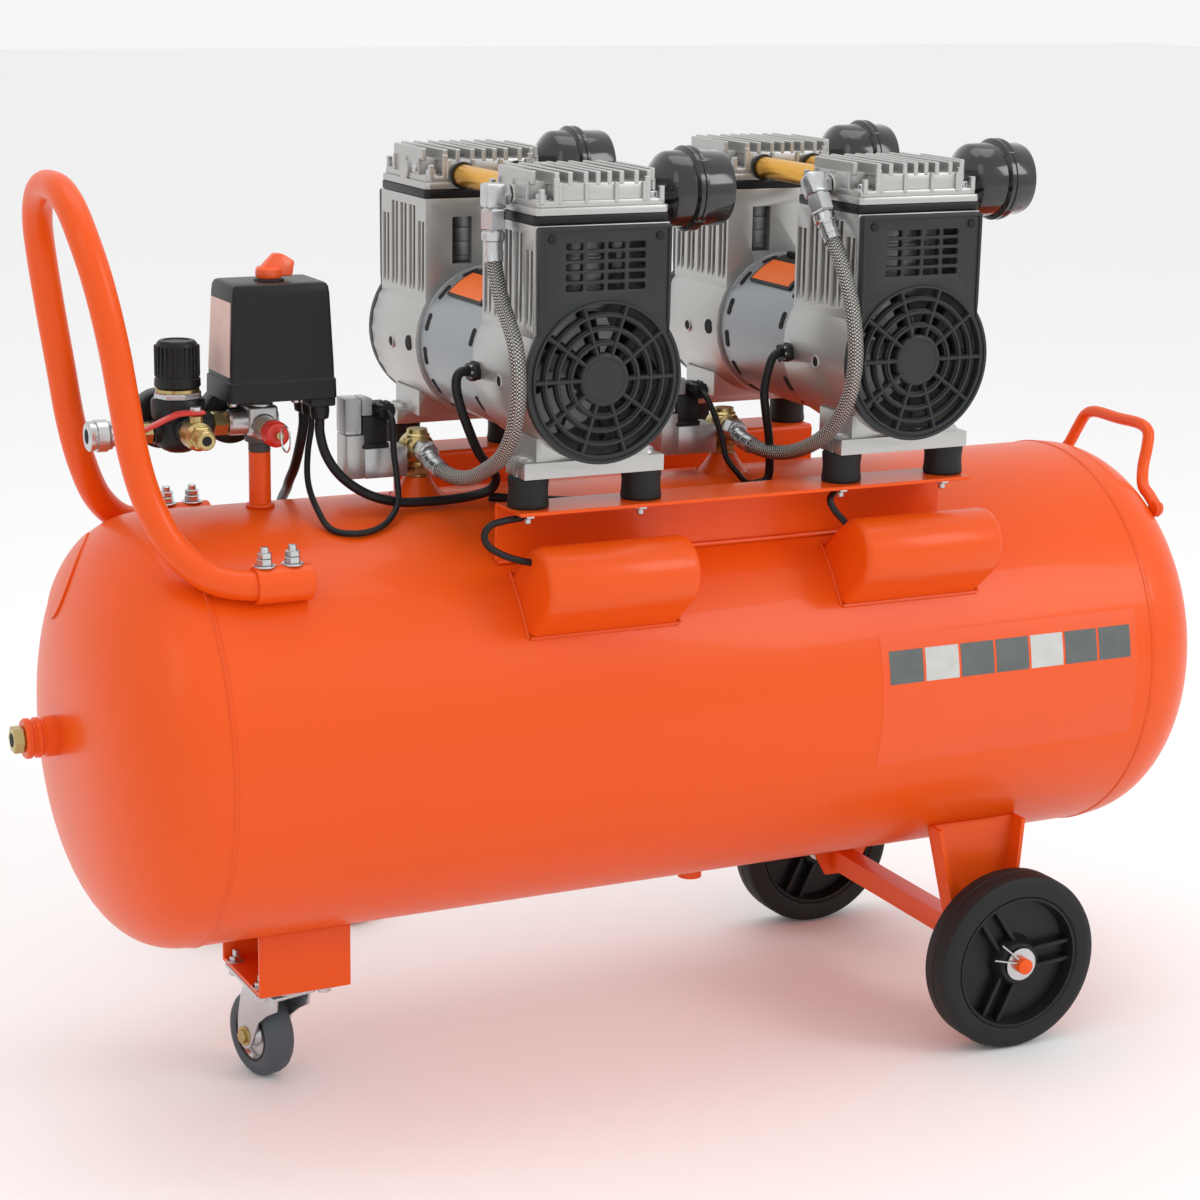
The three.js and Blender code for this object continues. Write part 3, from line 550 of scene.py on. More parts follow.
# riser, check valve bosses and the drain boss below
tank.turned("z", [(174, 9), (226.2, 9), (226.2, 5)], RISER, ORANGE, 36)
weld(tank, "z", 9, 181.5, RISER, width=2.6, height=3.0, sides=48)
for xc in PUMPS.values():
    tank.turned("z", [(172, 26), (178, 24), (186, 17), (192, 13), (196, 11.5), (196, 6)],
        (xc + CHECK_DX, 0), ORANGE, 48)
    weld(tank, "z", 24.5, 177.5, (xc + CHECK_DX, 0), width=2.6, height=2.4, sides=70)
tank.turned("z", [(-196, 5), (-196, 11), (-170, 11)], (60, 0), ORANGE, 32)
# clamping sockets of the carry handle with their bolts
for s in (-1, 1):
    y = 127 * s
    tank.turned("x", [(-396, 12.3), (-396, 14.4), (-395.4, 15), (-350.6, 15), (-350, 14.4),
        (-350, 12.3), (-396, 12.3)], (y, 146), ORANGE, 48)
    for x in (-387.2, -364.3):
        tank.rod("z", 3.6, 158, 176, (x, y), ZINC, 20)
        tank.rod("z", 9, 160.2, 161.8, (x, y), ZINC, 28, 0.4)
        tank.rod("z", 6.6, 161.6, 166.8, (x, y), ZINC, 6, 0.6)
        tank.rod("z", 6.2, 167.2, 171.6, (x, y), ZINC, 6, 0.6)
    for y, z in ((116.5, 139), (121.5, 137.5)):
        seam(tank, [(-395, s * y, z), (-373, s * (y - 0.2), z), (-351, s * y, z)], 2.6, 16)
# weld runs where the wheel and caster brackets meet the shell
for half, push, xs, drop, r, steps in ((118, 1.01, (240, 292, 330), (1.2, 1.6, 1.2), 2.2, 24),
        (48, 1.03, (-368, -330, -290), (1, 1.4, 1), 2.0, 20)):
    z = -sqrt(TANK_R ** 2 - half ** 2)
    for y in (-half * push, half * push):
        seam(tank, [(x, y, z - d) for x, d in zip(xs, drop)], r, steps)


def dish_patch(p, centre, half_w, half_h, mat, lift, steps=14):
    """A thin painted-over plate lying on the left dished end, round cornered."""
    cy, cz = centre
    rows, faces, n = [], [], steps
    for i in range(n + 1):
        for j in range(n + 1):
            u, v = -1 + 2 * i / n, -1 + 2 * j / n
            y = cy + half_w * u * (1 - 0.5 * v * v) ** 0.5
            z = cz + half_h * v * (1 - 0.5 * u * u) ** 0.5
            rad = min(hypot(y, z), TANK_R - 0.5)
            rows.append((-SHELL - DEPTH * (1 - (rad / TANK_R) ** POWER) ** (1 / POWER), y, z))
    pts = [(x - lift, y, z) for x, y, z in rows] + [(x + 3, y, z) for x, y, z in rows]
    m, w = (n + 1) ** 2, n + 1
    for i in range(n):
        for a in range(i * w, i * w + n):
            faces.append((a, a + 1, a + w + 1, a + w))
            faces.append((a + m, a + w + m, a + w + 1 + m, a + 1 + m))
    rim = [*range(w), *range(w + n, m, w), *range(m - 2, n * w - 1, -1), *range((n - 1) * w, 0, -w)]
    for a, b in zip(rim, rim[1:] + rim[:1]):
        faces.append((a, b, b + m, a + m))
    p.shell(pts, faces, mat)


def shell_patch(p, x0, x1, a0, a1, r, mat, n=12):
    """A thin sticker on the front of the shell; angles are measured up from its middle height."""
    sections = []
    for i in range(n + 1):
        a = radians(a0 + (a1 - a0) * i / n)
        sections.append([(x, -rr * cos(a), rr * sin(a)) for x, rr in ((x0, r), (x1, r),
            (x1, TANK_R - 0.6), (x0, TANK_R - 0.6))])
    p.loft(sections, mat)


# plain sticker with seven blank tiles
shell_patch(tank, 147, 412, -17, 20, TANK_R + 0.22, STICKER_PANEL, 24)
for k in range(7):
    x = 154.5 + 36.1 * k
    shell_patch(tank, x, x + 33.6, 6.4, 15.6, TANK_R + 0.4, TILE_PALE if k % 3 == 1 else TILE_GREY,
        8)
dish_patch(tank, (50, 124), 34, 34, ORANGE, 1.6)
tank.rod("x", 5, -484, -474, (14, 117), ORANGE, 24, 2)
tank.done("orange_paint")

plug_p = Piece("end_plug")
plug_p.rod("x", 11.5, -558.3, -549.3, (0, 5), BRASS, 6, 0.9)
plug_p.rod("x", 8.4, -551, -533, (0, 5), BRASS, 28)
# painted shade: a dark hex disc stands for the plug's socket
plug_p.rod("x", 6.2, -558.7, -556, (0, 5), HOLE_SHADE, 6, 0.2)
plug_p.done("brass")


# ---- handles
hoop = [(-351, 127, 146), (-375, 127, 146), (-400, 127, 146.5), (-428, 120, 153), (-452, 107, 175),
    (-468, 96, 208), (-478, 91, 245), (-485, 90, 290), (-492, 89, 335), (-500, 81, 380),
    (-506, 68, 410), (-509.5, 48, 432), (-511, 24, 443), (-511, 0, 445)]
grip = [(484, 99, 134.5), (487, 84, 142), (489, 71, 149), (496, 60, 164), (503, 55, 182),
    (507, 50, 194), (508, 40, 199), (508, 0, 199.5)]


def mirrored(points):
    return [(x, -y, z) for x, y, z in points] + points[:-1][::-1]


handle = Piece("carry_handle")
handle.tube(mirrored(hoop), 12, ORANGE, 170, 28)
# painted shade: a dark disc in each open end of the tube
for s in (-1, 1):
    handle.rod("x", 9.6, -351.4, -350.6, (127 * s, 146), HOLE_SHADE, 28, 0.1)
handle.done("orange_paint")

grab = Piece("end_handle")
grab.tube(mirrored(grip), 5.5, ORANGE, 110, 20)
for s in (-1, 1):
    grab.turned("x", [(478, 0), (480, 7), (484, 8), (488, 6), (490, 0)], (s * 99, 133), ORANGE_WELD,
        20)
grab.done("orange_paint")


# ---- rails, feet, covers
def rail(name, flip):
    p = Piece(name, move=lambda x, y, z: (x, y * flip, z))
    prof = ([(-109.0, 143.9), (-109.0, 188.0)] + arc(-113.0, 188.6, 4.0, 0, 90, 5)
        + [(-160.6, 192.6), (-160.6, 189.6), (-116.0, 189.6)] + arc(-116.0, 185.6, 4.0, 90, 0,
        5)[1:] + [(-112.0, 143.9)])
    p.loft([[(x, y, z) for y, z in prof] for x in (-185.0, 237.6)], ORANGE, bevel=0.5, segments=1,
        limit=50)
    seam(p, [(-184, -113.2, 143.2), (30, -113.4, 142.6), (236, -113.2, 143.2)], 2.0, 60)
    for xc in PUMPS.values():
        for dx in (-FOOT_DX, FOOT_DX):
            at = (xc + dx, FOOT_Y)
            p.turned("z", [(192.7, 0), (192.7, 16.2), (193.6, 16.8), (196, 16.9), (201, 16.2),
                (208, 16.0), (213.5, 16.6), (216.8, 16.8), (217.6, 16.2), (217.6, 0)], at, RUBBER,
                44)
            p.rod("z", 8.5, 188.2, 189.6, at, ZINC, 28, 0.3)
            p.rod("z", 6.4, 183.2, 188.3, at, ZINC, 6, 0.6)
            p.rod("z", 3.0, 178.5, 184, at, ZINC, 16)
    p.done("orange_paint")


rail("rail_front", 1)
rail("rail_rear", -1)


def cover(side, xc):
    """Pressed D-section cover with rolled edges, leaning out of the receiver's shoulder."""
    tilt, half = radians(39), 29.5
    x0, x1 = xc - 58, xc + 78
    p = Piece(f"capacitor_cover_{side}")
    sections = []
    for x, inset in ((x0, 6.5), (x0 + 0.9, 3.4), (x0 + 2.8, 1.2), (x0 + 6.5, 0), (x1 - 6.5, 0),
            (x1 - 2.8, 1.2), (x1 - 0.9, 3.4), (x1, 6.5)):
        r = half - inset
        sections.append([(x, -u * cos(tilt) - t * sin(tilt), u * sin(tilt) - t * cos(tilt))
            for u, t in [(150.0, -r), *arc(216.5, 0, r, -90, 90, 18), (150.0, r)]])
    p.loft(sections, ORANGE)
    # weld along both straight sides and the ends
    for t in (-1, 1):
        u = sqrt(TANK_R ** 2 - half ** 2) + 0.6
        tt = t * 30.2
        q = (-u * cos(tilt) - tt * sin(tilt), u * sin(tilt) - tt * cos(tilt))
        seam(p, [(x0 + 1, *q), ((x0 + x1) / 2, q[0] * 1.001, q[1] * 1.001), (x1 - 1, *q)], 1.7, 40)
    for x in (x0 - 0.6, x1 + 0.6):
        ring = []
        for i in range(9):
            a = -tilt + asin(half / TANK_R) * (i / 4 - 1)
            ring.append((x, -(TANK_R + 0.6) * cos(a), -(TANK_R + 0.6) * sin(a)))
        seam(p, ring, 1.6, 24)
    # fixing screw beside the top edge
    a = tilt + radians(13.5)
    p.tube([((x0 + x1) / 2 - 6, -(TANK_R - 2) * cos(a), (TANK_R - 2) * sin(a)),
        ((x0 + x1) / 2 - 6, -(TANK_R + 4) * cos(a), (TANK_R + 4) * sin(a))], 4.2, ZINC, 4, 12)
    p.done("orange_paint")


for side_name, xc in PUMPS.items():
    cover(side_name, xc)


# ---- undercarriage
axle = Piece("axle_frame")
axle.bulk(ORANGE, bevel=0.7)
for s in (-1, 1):
    axle.rod("y", 15, s * 195.4, s * 197.2, WHEEL, ZINC, 40, 0.4)
    axle.rod("y", 15, s * 157.5, s * 159.6, WHEEL, ZINC, 40, 0.4)
    # split pin through the spindle's end
    for dx, dz in ((-26, 24), (-33, 11)):
        axle.tube([(WHEEL[0] + 5, s * 199.5, WHEEL[1] - 4), (WHEEL[0], s * 200.2, WHEEL[1] + 1),
            (WHEEL[0] + dx * 0.5, s * 201.4, WHEEL[1] + dz * 0.55), (WHEEL[0] + dx, s * 203.2,
            WHEEL[1] + dz)], 0.9, ZINC, 14, 8)
axle.done("orange_paint")

bracket = Piece("caster_bracket")
bracket.bulk(ORANGE, bevel=0.9)
for i in (-1, 1):
    for j in (-1, 1):
        bracket.rod("z", 2.8, -225, -214, (CASTER_X + 28 * i, 33 * j), ZINC, 16)
        bolt(bracket, "z", (CASTER_X + 28 * i, 33 * j), -224.9, 5.6, 5, out=1)
bracket.done("orange_paint")

plate_p = Piece("caster_plate")
plate_p.bulk(ZINC, bevel=0.5, segments=1)
plate_p.ring("z", 20, 27.5, -240.0, -236.6, (CASTER_X, 0), ZINC, edge=1.2)
plate_p.done("zinc")


def caster(x, y, z):
    """Turns a point made about the swivel axis with its trail along +Y."""
    c, s = cos(CASTER_TURN), sin(CASTER_TURN)
    return (CASTER_X + x * c - y * s, x * s + y * c, z)


AXLE_Z, TRAIL = FLOOR + 37.5, 30.0
fork = Piece("caster_fork", "caster_fork", caster)
TOP = -240.5
fork.plate([(-21, -24), (21, -24)] + arc(0, 10, 24, -10, 190, 20), [], TOP - 3, TOP, "z", ZINC, 0.8)
for s in (-1, 1):
    leg = ([(-22, TOP - 0.4), (28, TOP - 0.4), (36, TOP - 14), (41, AXLE_Z + 14)]
        + arc(TRAIL, AXLE_Z, 11.5, 15, -165, 12) + [(8, TOP - 33), (-6, TOP - 22), (-20, TOP - 14)])
    fork.plate(leg, [], s * 15, s * 17.5, "x", ZINC, 0.6)
    bolt(fork, "x", (TRAIL, AXLE_Z), s * 17.5, 6.2, 4.2, mat=BRASS, out=s)
fork.rod("x", 4, -20, 20, (TRAIL, AXLE_Z), ZINC, 24)
fork.rod("z", 17, TOP - 6, TOP - 2.6, (0, 0), ZINC, 40, 1.5)
fork.rod("z", 6.5, TOP - 9, TOP - 5, (0, 0), ZINC, 6, 0.6)
fork.done("zinc")

cw = Piece("caster_wheel", "caster_wheel", caster)
at = (TRAIL, AXLE_Z)
cw.turned("x", closed([(-10.8, 22), (-12.3, 25), (-12.5, 30), (-11.6, 33.6), (-9, 36.2),
    (-5, 37.4)]), at, GREY_TREAD, 72)
cw.turned("x", [(-7.5, 4.6), (-12.4, 4.6), (-12.4, 9), (-8, 12), (-7.5, 20), (-11.2, 22.2),
    (11.2, 22.2), (7.5, 20), (8, 12), (12.4, 9), (12.4, 4.6), (-7.5, 4.6)], at, ZINC, 60)
for s in (-1, 1):
    cw.ring("x", 21.6, 24.0, s * 10.6, s * 12.2, at, BLACK, 60, 0.3)
cw.done("caster_rubber")


def road_wheel(name, flip):
    p = Piece(name, name, move=lambda x, y, z: (x, y * flip, z))
    a, b = -195.0, -160.0
    m, (x, z) = (a + b) / 2, WHEEL
    # tyre with a moulding line in the tread and a raised ring on each side wall
    p.turned("y", closed([(a + 5, 59.5), (a + 1.2, 62.5), (a + 0.2, 66), (a + 0.6, 68.2),
        (a + 0.1, 70.5), (a + 0.9, 76), (a + 3, 79.3), (a + 6.5, 80.8), (m - 1.2, 81),
        (m - 0.5, 80.3)], m), WHEEL, RUBBER, 120)
    # hub: rim flange, dished web and boss
    p.turned("y", closed([(a + 2.2, 60.6), (a + 2.2, 58.2), (a + 9, 56), (m - 3.5, 55), (m - 3, 24),
        (a + 3, 20), (a + 0.6, 18.5), (a + 0.6, 7.9)], m), WHEEL, BLACK, 96)
    for k in range(3):
        for off in (-8.5, 8.5):
            for lo, hi in ((a + 5.5, m), (m, b - 5.5)):
                p.box(x + 15, x + 57, lo, hi, z + off - 2, z + off + 2, BLACK, 0.8,
                    spin=("y", 4 + 120 * k, x, z))
    p.done("wheel_rubber")


road_wheel("wheel_front", 1)
road_wheel("wheel_rear", -1)


# ---- pumps
def oval_on_shell(p, xc, y, phi, half_len, half_w, r, mat):
    """A round-ended slot lying on the motor shell, its length running round the shell."""
    flat = half_len - half_w
    outline = arc(flat, 0, half_w, -90, 90, 6) + arc(-flat, 0, half_w, 90, 270, 6)
    p.loft([[(xc + rr * cos(phi + s / r), y + w, SHAFT_Z + rr * sin(phi + s / r))
        for s, w in outline] for rr in (r - 1.5, r)], mat)


def curved_patch(p, xc, y0, y1, phi0, phi1, r, thick, mat, n=20):
    """A curved strip lying on the motor shell between two angles."""
    sections = []
    for i in range(n + 1):
        a = radians(phi0 + (phi1 - phi0) * i / n)
        sections.append([(xc + rr * cos(a), y, SHAFT_Z + rr * sin(a)) for rr, y in ((r, y0),
            (r, y1), (r - thick, y1), (r - thick, y0))])
    p.loft(sections, mat, bevel=min(0.6, thick / 3), segments=1, limit=60)


def pump_piece(kind, side, end, xc, flip):
    """A piece of one pump's front end, or mirrored to its rear end."""
    return Piece(f"{kind}_{side}_{end}", move=lambda x, y, z: (xc + x, y * flip, z))


def crankcase(side, end, xc, flip):
    p = pump_piece("crankcase", side, end, xc, flip)

    def groove(x, y, z):
        """Names the painted shade for the floors of the slots between the cooling fins, dark where
        shade falls in the slots.
        """
        return DARK_METAL_AND_SHADE if abs(abs(x - xc) - 53) < 0.4 and z > 338 else None
    p.bulk(CAST, bevel=1.1, paint=groove)
    # every slot is split by a thin fin, and ends in a ramp at its foot
    for i in range(5):
        y, top = -151 + 20 * i, 412 if i % 4 else 400
        for s in (-1, 1):
            p.box(s * 52.8, s * 58.3, y - 1.5, y + 1.5, 338.5, top + 0.5, CAST, 0.5, 1)
            p.shell([(s * 52.8, y - 7, 339), (s * 58.4, y - 7, 339), (s * 52.8, y - 7, 352),
                (s * 52.8, y + 7, 339), (s * 58.4, y + 7, 339), (s * 52.8, y + 7, 352)],
                [(0, 1, 2), (3, 5, 4), (0, 3, 4, 1), (1, 4, 5, 2), (0, 2, 5, 3)], CAST)
    # cylinder and its liner behind the grille
    fins = [(z + dz, r) for z in (352, 364, 376, 388) for dz, r in ((0, 29), (0, 33), (4, 33),
        (4, 29))]
    p.turned("z", [(346, 0), (346, 27), *fins, (411, 29), (411, 0)], (0, HEAD_PORT[0]), LINER, 48)
    for dx in (-FOOT_DX, FOOT_DX):
        p.turned("z", [(218, 0), (218, 12.5), (227, 12), (233, 10.5), (234.5, 9), (234.5, 0)],
            (dx, FOOT_Y), CAST, 36)
    # screw holes on both sides, drawn as dark discs of painted shade, and the cable entry on the
    # left, on the rear end a dark disc of painted shade
    for s in (-1, 1):
        p.ring("x", 4.2, 6.0, s * 66, s * 68.6, (-116, 292), CAST, 28)
        p.rod("x", 4.4, s * 66, s * 68.0, (-116, 292), HOLE_SHADE, 24, 0.1)
    if end == "rear":
        p.rod("x", 6.6, -68.5, -62, (-76, 296), HOLE_SHADE, 28, 0.2)
    else:
        p.turned("x", [(-76.2, 0), (-76.2, 7.0), (-73, 7.7), (-72, 8.4), (-70, 8.4), (-69, 7.6),
            (-60, 7.6), (-60, 0)], GLAND, BLACK, 32)
    p.done("cast_aluminium")


def ring_slot(r0, r1, a0, a1, cz=SHAFT_Z, n=5):
    return arc(0, cz, r1, a0, a1, n) + arc(0, cz, r0, a1, a0, n)


def fan_cover(side, end, xc, flip):
    p = pump_piece("fan_cover", side, end, xc, flip)
    y0, y1 = -171.0, -162.3
    a = degrees(acos(56.5 / 68))
    outline = ([(-57.5, 417.5), (-57.0, 345)] + arc(0, SHAFT_Z, 68, 180 - a, 360 + a, 60)
        + [(57.0, 345), (57.5, 417.5), (56, 419), (-56, 419)])
    holes = []
    for r0, r1 in ((21.4, 27.0), (31.8, 38.6), (43.0, 49.6), (53.6, 60.2)):
        gap = degrees(1.9 / ((r0 + r1) / 2))
        holes += [ring_slot(r0, r1, 36 * k + gap, 36 * k + 36 - gap, n=8) for k in range(10)]
    for i in range(4):
        for j in range(5):
            x, z = -27.3 + 18.2 * i, 371.2 + 8.1 * j
            holes.append(rounded(x - 7.4, x + 7.4, z - 2.7, z + 2.7, 1.4, 3))
    p.plate(outline, holes, y0 + 2.4, y1, "y", CHARCOAL, edge=0.55)
    # raised rim, ring ribs, spokes and hub disc
    rim_in = [(-54.8, 415.8), (-54.4, 345)] + arc(0, SHAFT_Z, 65.2, 180 - a + 2.2, 360 + a - 2.2,
        60) + [(54.4, 345), (54.8, 415.8)]
    p.plate(outline, [rim_in], y0 + 1.2, y0 + 3.4, "y", CHARCOAL, edge=0.5)
    for r in (29.4, 40.8, 51.6, 61.6):
        p.turned("y", [(y0 + 3, r - 1.5), (y0 + 0.7, r - 0.9), (y0 + 0.7, r + 0.9),
            (y0 + 3, r + 1.5), (y0 + 3, r - 1.5)], (0, SHAFT_Z), CHARCOAL, 90)
    for k in range(10):
        p.box(19, 62.5, y0 + 0.3, y0 + 4, SHAFT_Z - 1.3, SHAFT_Z + 1.3, CHARCOAL, 0.6,
            spin=("y", 36 * k, 0, SHAFT_Z), segments=1)
    p.turned("y", [(y0 + 3.4, 0), (y0 + 3.4, 20.8), (y0 + 1.2, 20.6), (y0 + 0.6, 19.4),
        (y0 + 0.6, 17.6), (y0 + 1.4, 16.8), (y0 + 1.4, 0)], (0, SHAFT_Z), CHARCOAL, 64)
    for x in (-47, 47):
        p.rod("y", 3.4, y0 + 0.8, y0 + 3, (x, 410), BLACK, 20, 0.5)
    p.done("dark_plastic")


def head(side, end, xc, flip):
    """Gasket, valve plate and cylinder head with corner bolts and fins running front to back."""
    p = pump_piece("cylinder_head", side, end, xc, flip)
    yo, yi = -163.0, -60.5

    def slab(inset, z0, z1, mat, edge=0.8):
        x = 58.5 - inset
        p.plate(rounded(-x, x, yo + inset, yi - inset, 5.0), [], z0, z1, "z", mat, edge)
    slab(-0.2, 420.2, 427.2, BLACK, edge=1.0)
    slab(0.2, 427.4, 433.4, CAST)
    slab(2.2, 433.2, 438.5, CAST)
    # body between the corner pockets
    p.box(-38, 38, yo + 3.5, yi - 3.5, 437, 452, CAST, 1.2)
    p.box(-55, 55, yo + 23, yi - 23, 437, 452, CAST, 1.2)
    # outer walls of the pockets, standing a little back from the plate's edge
    for sx in (-1, 1):
        for y in (yo + 13, yi - 13):
            p.rod("z", 5.4, 437, 443.5, (sx * 47.5, y), ZINC, 28, 0.8)
            # painted shade: a dark hex disc on each bolt's head for its socket
            p.rod("z", 2.6, 443.3, 444, (sx * 47.5, y), HOLE_SHADE, 6, 0.1)
            p.rod("z", 8.6, 436, 439.4, (sx * 47.5, y), CAST, 32, 0.6)
    # face ribs on the four sides
    for x in (-36.5, -14, 12, 36.5):
        for y in (yo + 3.2, yi - 3.2):
            p.box(x - 1.6, x + 1.6, y - 1.8, y + 1.8, 436, 452, CAST, 0.6, 1)
    for y in (yo + 24, yo + 51, yi - 24):
        for sx in (-1, 1):
            p.box(sx * 54.6 - 1.8, sx * 54.6 + 1.8, y - 1.6, y + 1.6, 436, 452, CAST, 0.6, 1)
    # roof and fins: the outer ones stop short of the corner pockets
    for k, x in enumerate((-52, -39, -27.5, -14, -3.5, 6.5, 17, 30, 41, 52)):
        ends = (yo + 19, yi - 19) if abs(x) > 45 else (yo + 3, yi - 3)
        p.box(x - 2.1, x + 2.1, ends[0], ends[1], 450, 460.6, CAST, 0.7, 1)
        if abs(x) > 45:
            for y in ((yo + 1.5, yo + 6), (yi - 6, yi - 1.5)):
                p.box(x - 2.1, x + 2.1, *y, 436, 448, CAST, 0.6, 1)
    for sx in (-1, 1):
        for y in ((yo + 2, yo + 5.5), (yi - 5.5, yi - 2)):
            p.box(sx * 37, sx * 42, *y, 436, 456, CAST, 0.6, 1)
    # side port with its screw, towards -X
    p.rod("x", 9.2, -58.4, -50, HEAD_PORT, CAST, 36, 0.8)
    p.rod("x", 3.6, -58.3, -52, (-88, 444), ZINC, 24, 0.6)
    p.done("cast_aluminium")


def air_filter(side, end, xc, flip):
    p = pump_piece("air_filter", side, end, xc, flip)
    k = FILTER_RING[side]
    p.turned("x", [(58.9, 0), (58.9, 14), (62, 14.4), (64, 13.4), (66.5, 16), (74, 25), (78, 29.2),
        (81, 30.6), (k - 2.5, 31), (k - 1.6, 33.4), (k - 0.6, 34.7), (k + 1.6, 34.7),
        (k + 2.3, 33.6), (k + 3.6, 33.6), (k + 4.4, 34.7), (k + 6.8, 34.7), (k + 7.8, 33),
        (k + 8.4, 31), (127, 30.6), (130.4, 29.4), (131.8, 27), (131.9, 22), (130.5, 21),
        (130.5, 0)], (-110, HEAD_PORT[1]), GLOSS_BLACK, 72)
    for i in range(4):
        a = radians(45 + 90 * i)
        y, z = -110 + 32 * cos(a), HEAD_PORT[1] + 32 * sin(a)
        p.box(k - 1.8, k + 8.2, y - 2.4, y + 2.4, z - 2.4, z + 2.4, GLOSS_BLACK, 0.8)
    p.done("black_plastic")


def motor(side, xc):
    p = Piece(f"motor_shell_{side}")
    p.turned("y", closed([(-60.2, 60), (-60.2, 64.2), (-59.4, 65), (-57.5, 65), (-57.2, 64.6)]),
        (xc, SHAFT_Z), SHELL_GREY, 120)
    # vent slots: thin dark plates of painted shade lying on the shell, standing for the shaded
    # openings
    for y in (-47, 47):
        for k in range(14):
            oval_on_shell(p, xc, y, 2 * pi * (k + 0.3) / 14, 7.8, 2.9, 65.35, HOLE_SHADE)
    # plastic guard over the shell's top, with a plain orange sticker
    curved_patch(p, xc, -36, 36, 42, 138, 67.2, 2.4, BLACK, 36)
    curved_patch(p, xc, -32, 33, 113, 136, 67.5, 0.5, STICKER, 16)
    p.box(xc - 16, xc + 16, -30, 30, SHAFT_Z + 64, SHAFT_Z + 69.6, BLACK, 1.6)
    for y in (-58, 58):
        p.ring("y", 60, 65.3, y - 0.5, y + 0.5, (xc, SHAFT_Z), SHELL_GREY, 100, 0.2)
    p.done("shell_paint")


def rotor(side, xc):
    p = Piece(f"rotor_{side}", f"rotor_{side}")
    at = (xc, SHAFT_Z)
    p.rod("y", 7, -150, 150, at, MACHINED, 28)
    p.rod("y", 42, -42, 42, at, DARK_METAL_AND_SHADE, 64, 1.5)
    for s in (-1, 1):
        y0, y1 = s * 149 - 9, s * 149 + 9
        p.turned("y", [(y0, 0), (y0, 15.5), (y0 + 1.5, 17), (y1 - 1.5, 17), (y1, 15.5), (y1, 0)],
            at, BLACK, 40)
        for k in range(8):
            sections = []
            for i in range(7):
                r = 15 + 38 * i / 6
                a = radians(45 * k + 9 * sin(i / 6 * 1.5))
                sections.append([(at[0] + r * cos(a + da + th * 0.9 / r), s * 149 + dy,
                    at[1] + r * sin(a + da + th * 0.9 / r)) for dy, da, th in ((-6.5, -0.10, -1),
                    (-6.5, -0.10, 1), (6.5, 0.10, 1), (6.5, 0.10, -1))])
            p.loft(sections, BLACK)
    p.done("rotor_steel")


def crossover(side, xc):
    p = Piece(f"crossover_tube_{side}")
    for dx in (-25, 25):
        p.rod("y", 9.5, -60.1, 60.1, (xc + dx, 439), GOLD, 48, 0.3)
        for s in (-1, 1):
            p.ring("y", 9.2, 11.4, s * 57.4, s * 60.2, (xc + dx, 439), BLACK, 40, 0.6)
    p.done("anodised_tube")


for side_name, xc in PUMPS.items():
    for end, flip in (("front", 1), ("rear", -1)):
        crankcase(side_name, end, xc, flip)
        fan_cover(side_name, end, xc, flip)
        head(side_name, end, xc, flip)
        air_filter(side_name, end, xc, flip)
    motor(side_name, xc)
    rotor(side_name, xc)
    crossover(side_name, xc)


# ---- check valves, unloaders, hoses
def check_valve(side, x):
    p = Piece(f"check_valve_{side}")
    p.turned("z", [(196.3, 0), (196.3, 8.5), (203, 8.5), (205, 9.5), (213, 9.5), (213, 0)], (x, 0),
        BRASS, 36)
    p.rod("z", 11.5, 198, 204.5, (x, 0), BRASS, 6, 0.9)
    p.turned("y", [(-11, 0), (-11, 9), (-9, 11.6), (-6, 13.4), (6, 13.4), (8, 12.6), (12, 12.2),
        (12, 0)], (x, 219.5), BRASS, 44)
    p.turned("z", [(226, 0), (226, 10.5), (231, 10.5), (232.5, 9), (236, 8.4), (236, 0)], (x, 0),
        BRASS, 36)
    p.rod("x", 8.4, x - 14, x - 3, (0, 219.5), BRASS, 32)
    p.done("brass")


def unloader(side, x):
    p = Piece(f"unloader_{side}")
    p.box(x - 52, x - 14.2, -14, 14, 199, 224, MACHINED, 1.0)
    p.box(x - 67, x - 51.6, -12, 12, 199, 235.5, CAST, 1.0)
    p.box(x - 53, x - 31, -11, 11, 224, 251, BLACK, 1.4)
    p.box(x - 54.5, x - 29.8, -12, 12, 223.6, 228, BLACK, 0.8)
    p.box(x - 68, x - 53.5, -11, 11, 235.8, 266, CLEAR, 1.8)
    for dy in (-7, 0, 7):
        p.box(x - 66, x - 55, dy - 1.6, dy + 1.6, 239, 263, ZINC, 0.5, 1)
    p.box(x - 53.3, x - 44, -11, 11, 251, 266, CLEAR, 1.6)
    p.box(x - 53.5, x - 28, -9, 9, 250, 261, BLACK, 1.6)
    p.turned("y", [(-8, 0), (-8, 7), (-22, 7), (-22, 0)], (x - 35, 256), BLACK, 32)
    for k in range(10):
        a = radians(36 * k)
        cx, cz = x - 35 + 7 * cos(a), 256 + 7 * sin(a)
        p.box(cx - 1.1, cx + 1.1, -20, -11, cz - 1.1, cz + 1.1, BLACK, 0.4, 1)
    p.done("zinc")


HOSES = {"left": ([(-91, -14, 219), (-91, -25, 216), (-91, -36, 212), (-87, -66, 207),
    (-83, -95, 211), (-79.5, -121, 222.5), (-77.5, -145, 237), (-76.5, -163, 259), (-76, -172, 290),
    (-75.5, -165, 326), (-74, -134, 359), (-72.5, -116, 385), (HOSE_DX, -112, 404),
    (HOSE_DX, -112, 430)], 0), "right": ([(-91, -14, 219), (-91, -25, 216), (-91, -34, 213),
    (-86, -62, 208.5), (-80, -90, 210.5), (-76.5, -118, 219.5), (-74, -145, 234), (-72, -165, 252),
    (-71, -180, 276), (-71, -186, 308), (-71, -178, 345), (-71, -160, 378), (-71.5, -133, 410),
    (HOSE_DX, -117.7, 431.8)], -35)}


def sleeve(p, line, i0, i1, r, mat, steps=10):
    """A crimped ferrule on a stretch of a hose's own line."""
    p.tube([tuple(line[i0 + round((i1 - i0) * k / 4)]) for k in range(5)], r, mat, steps, 24)


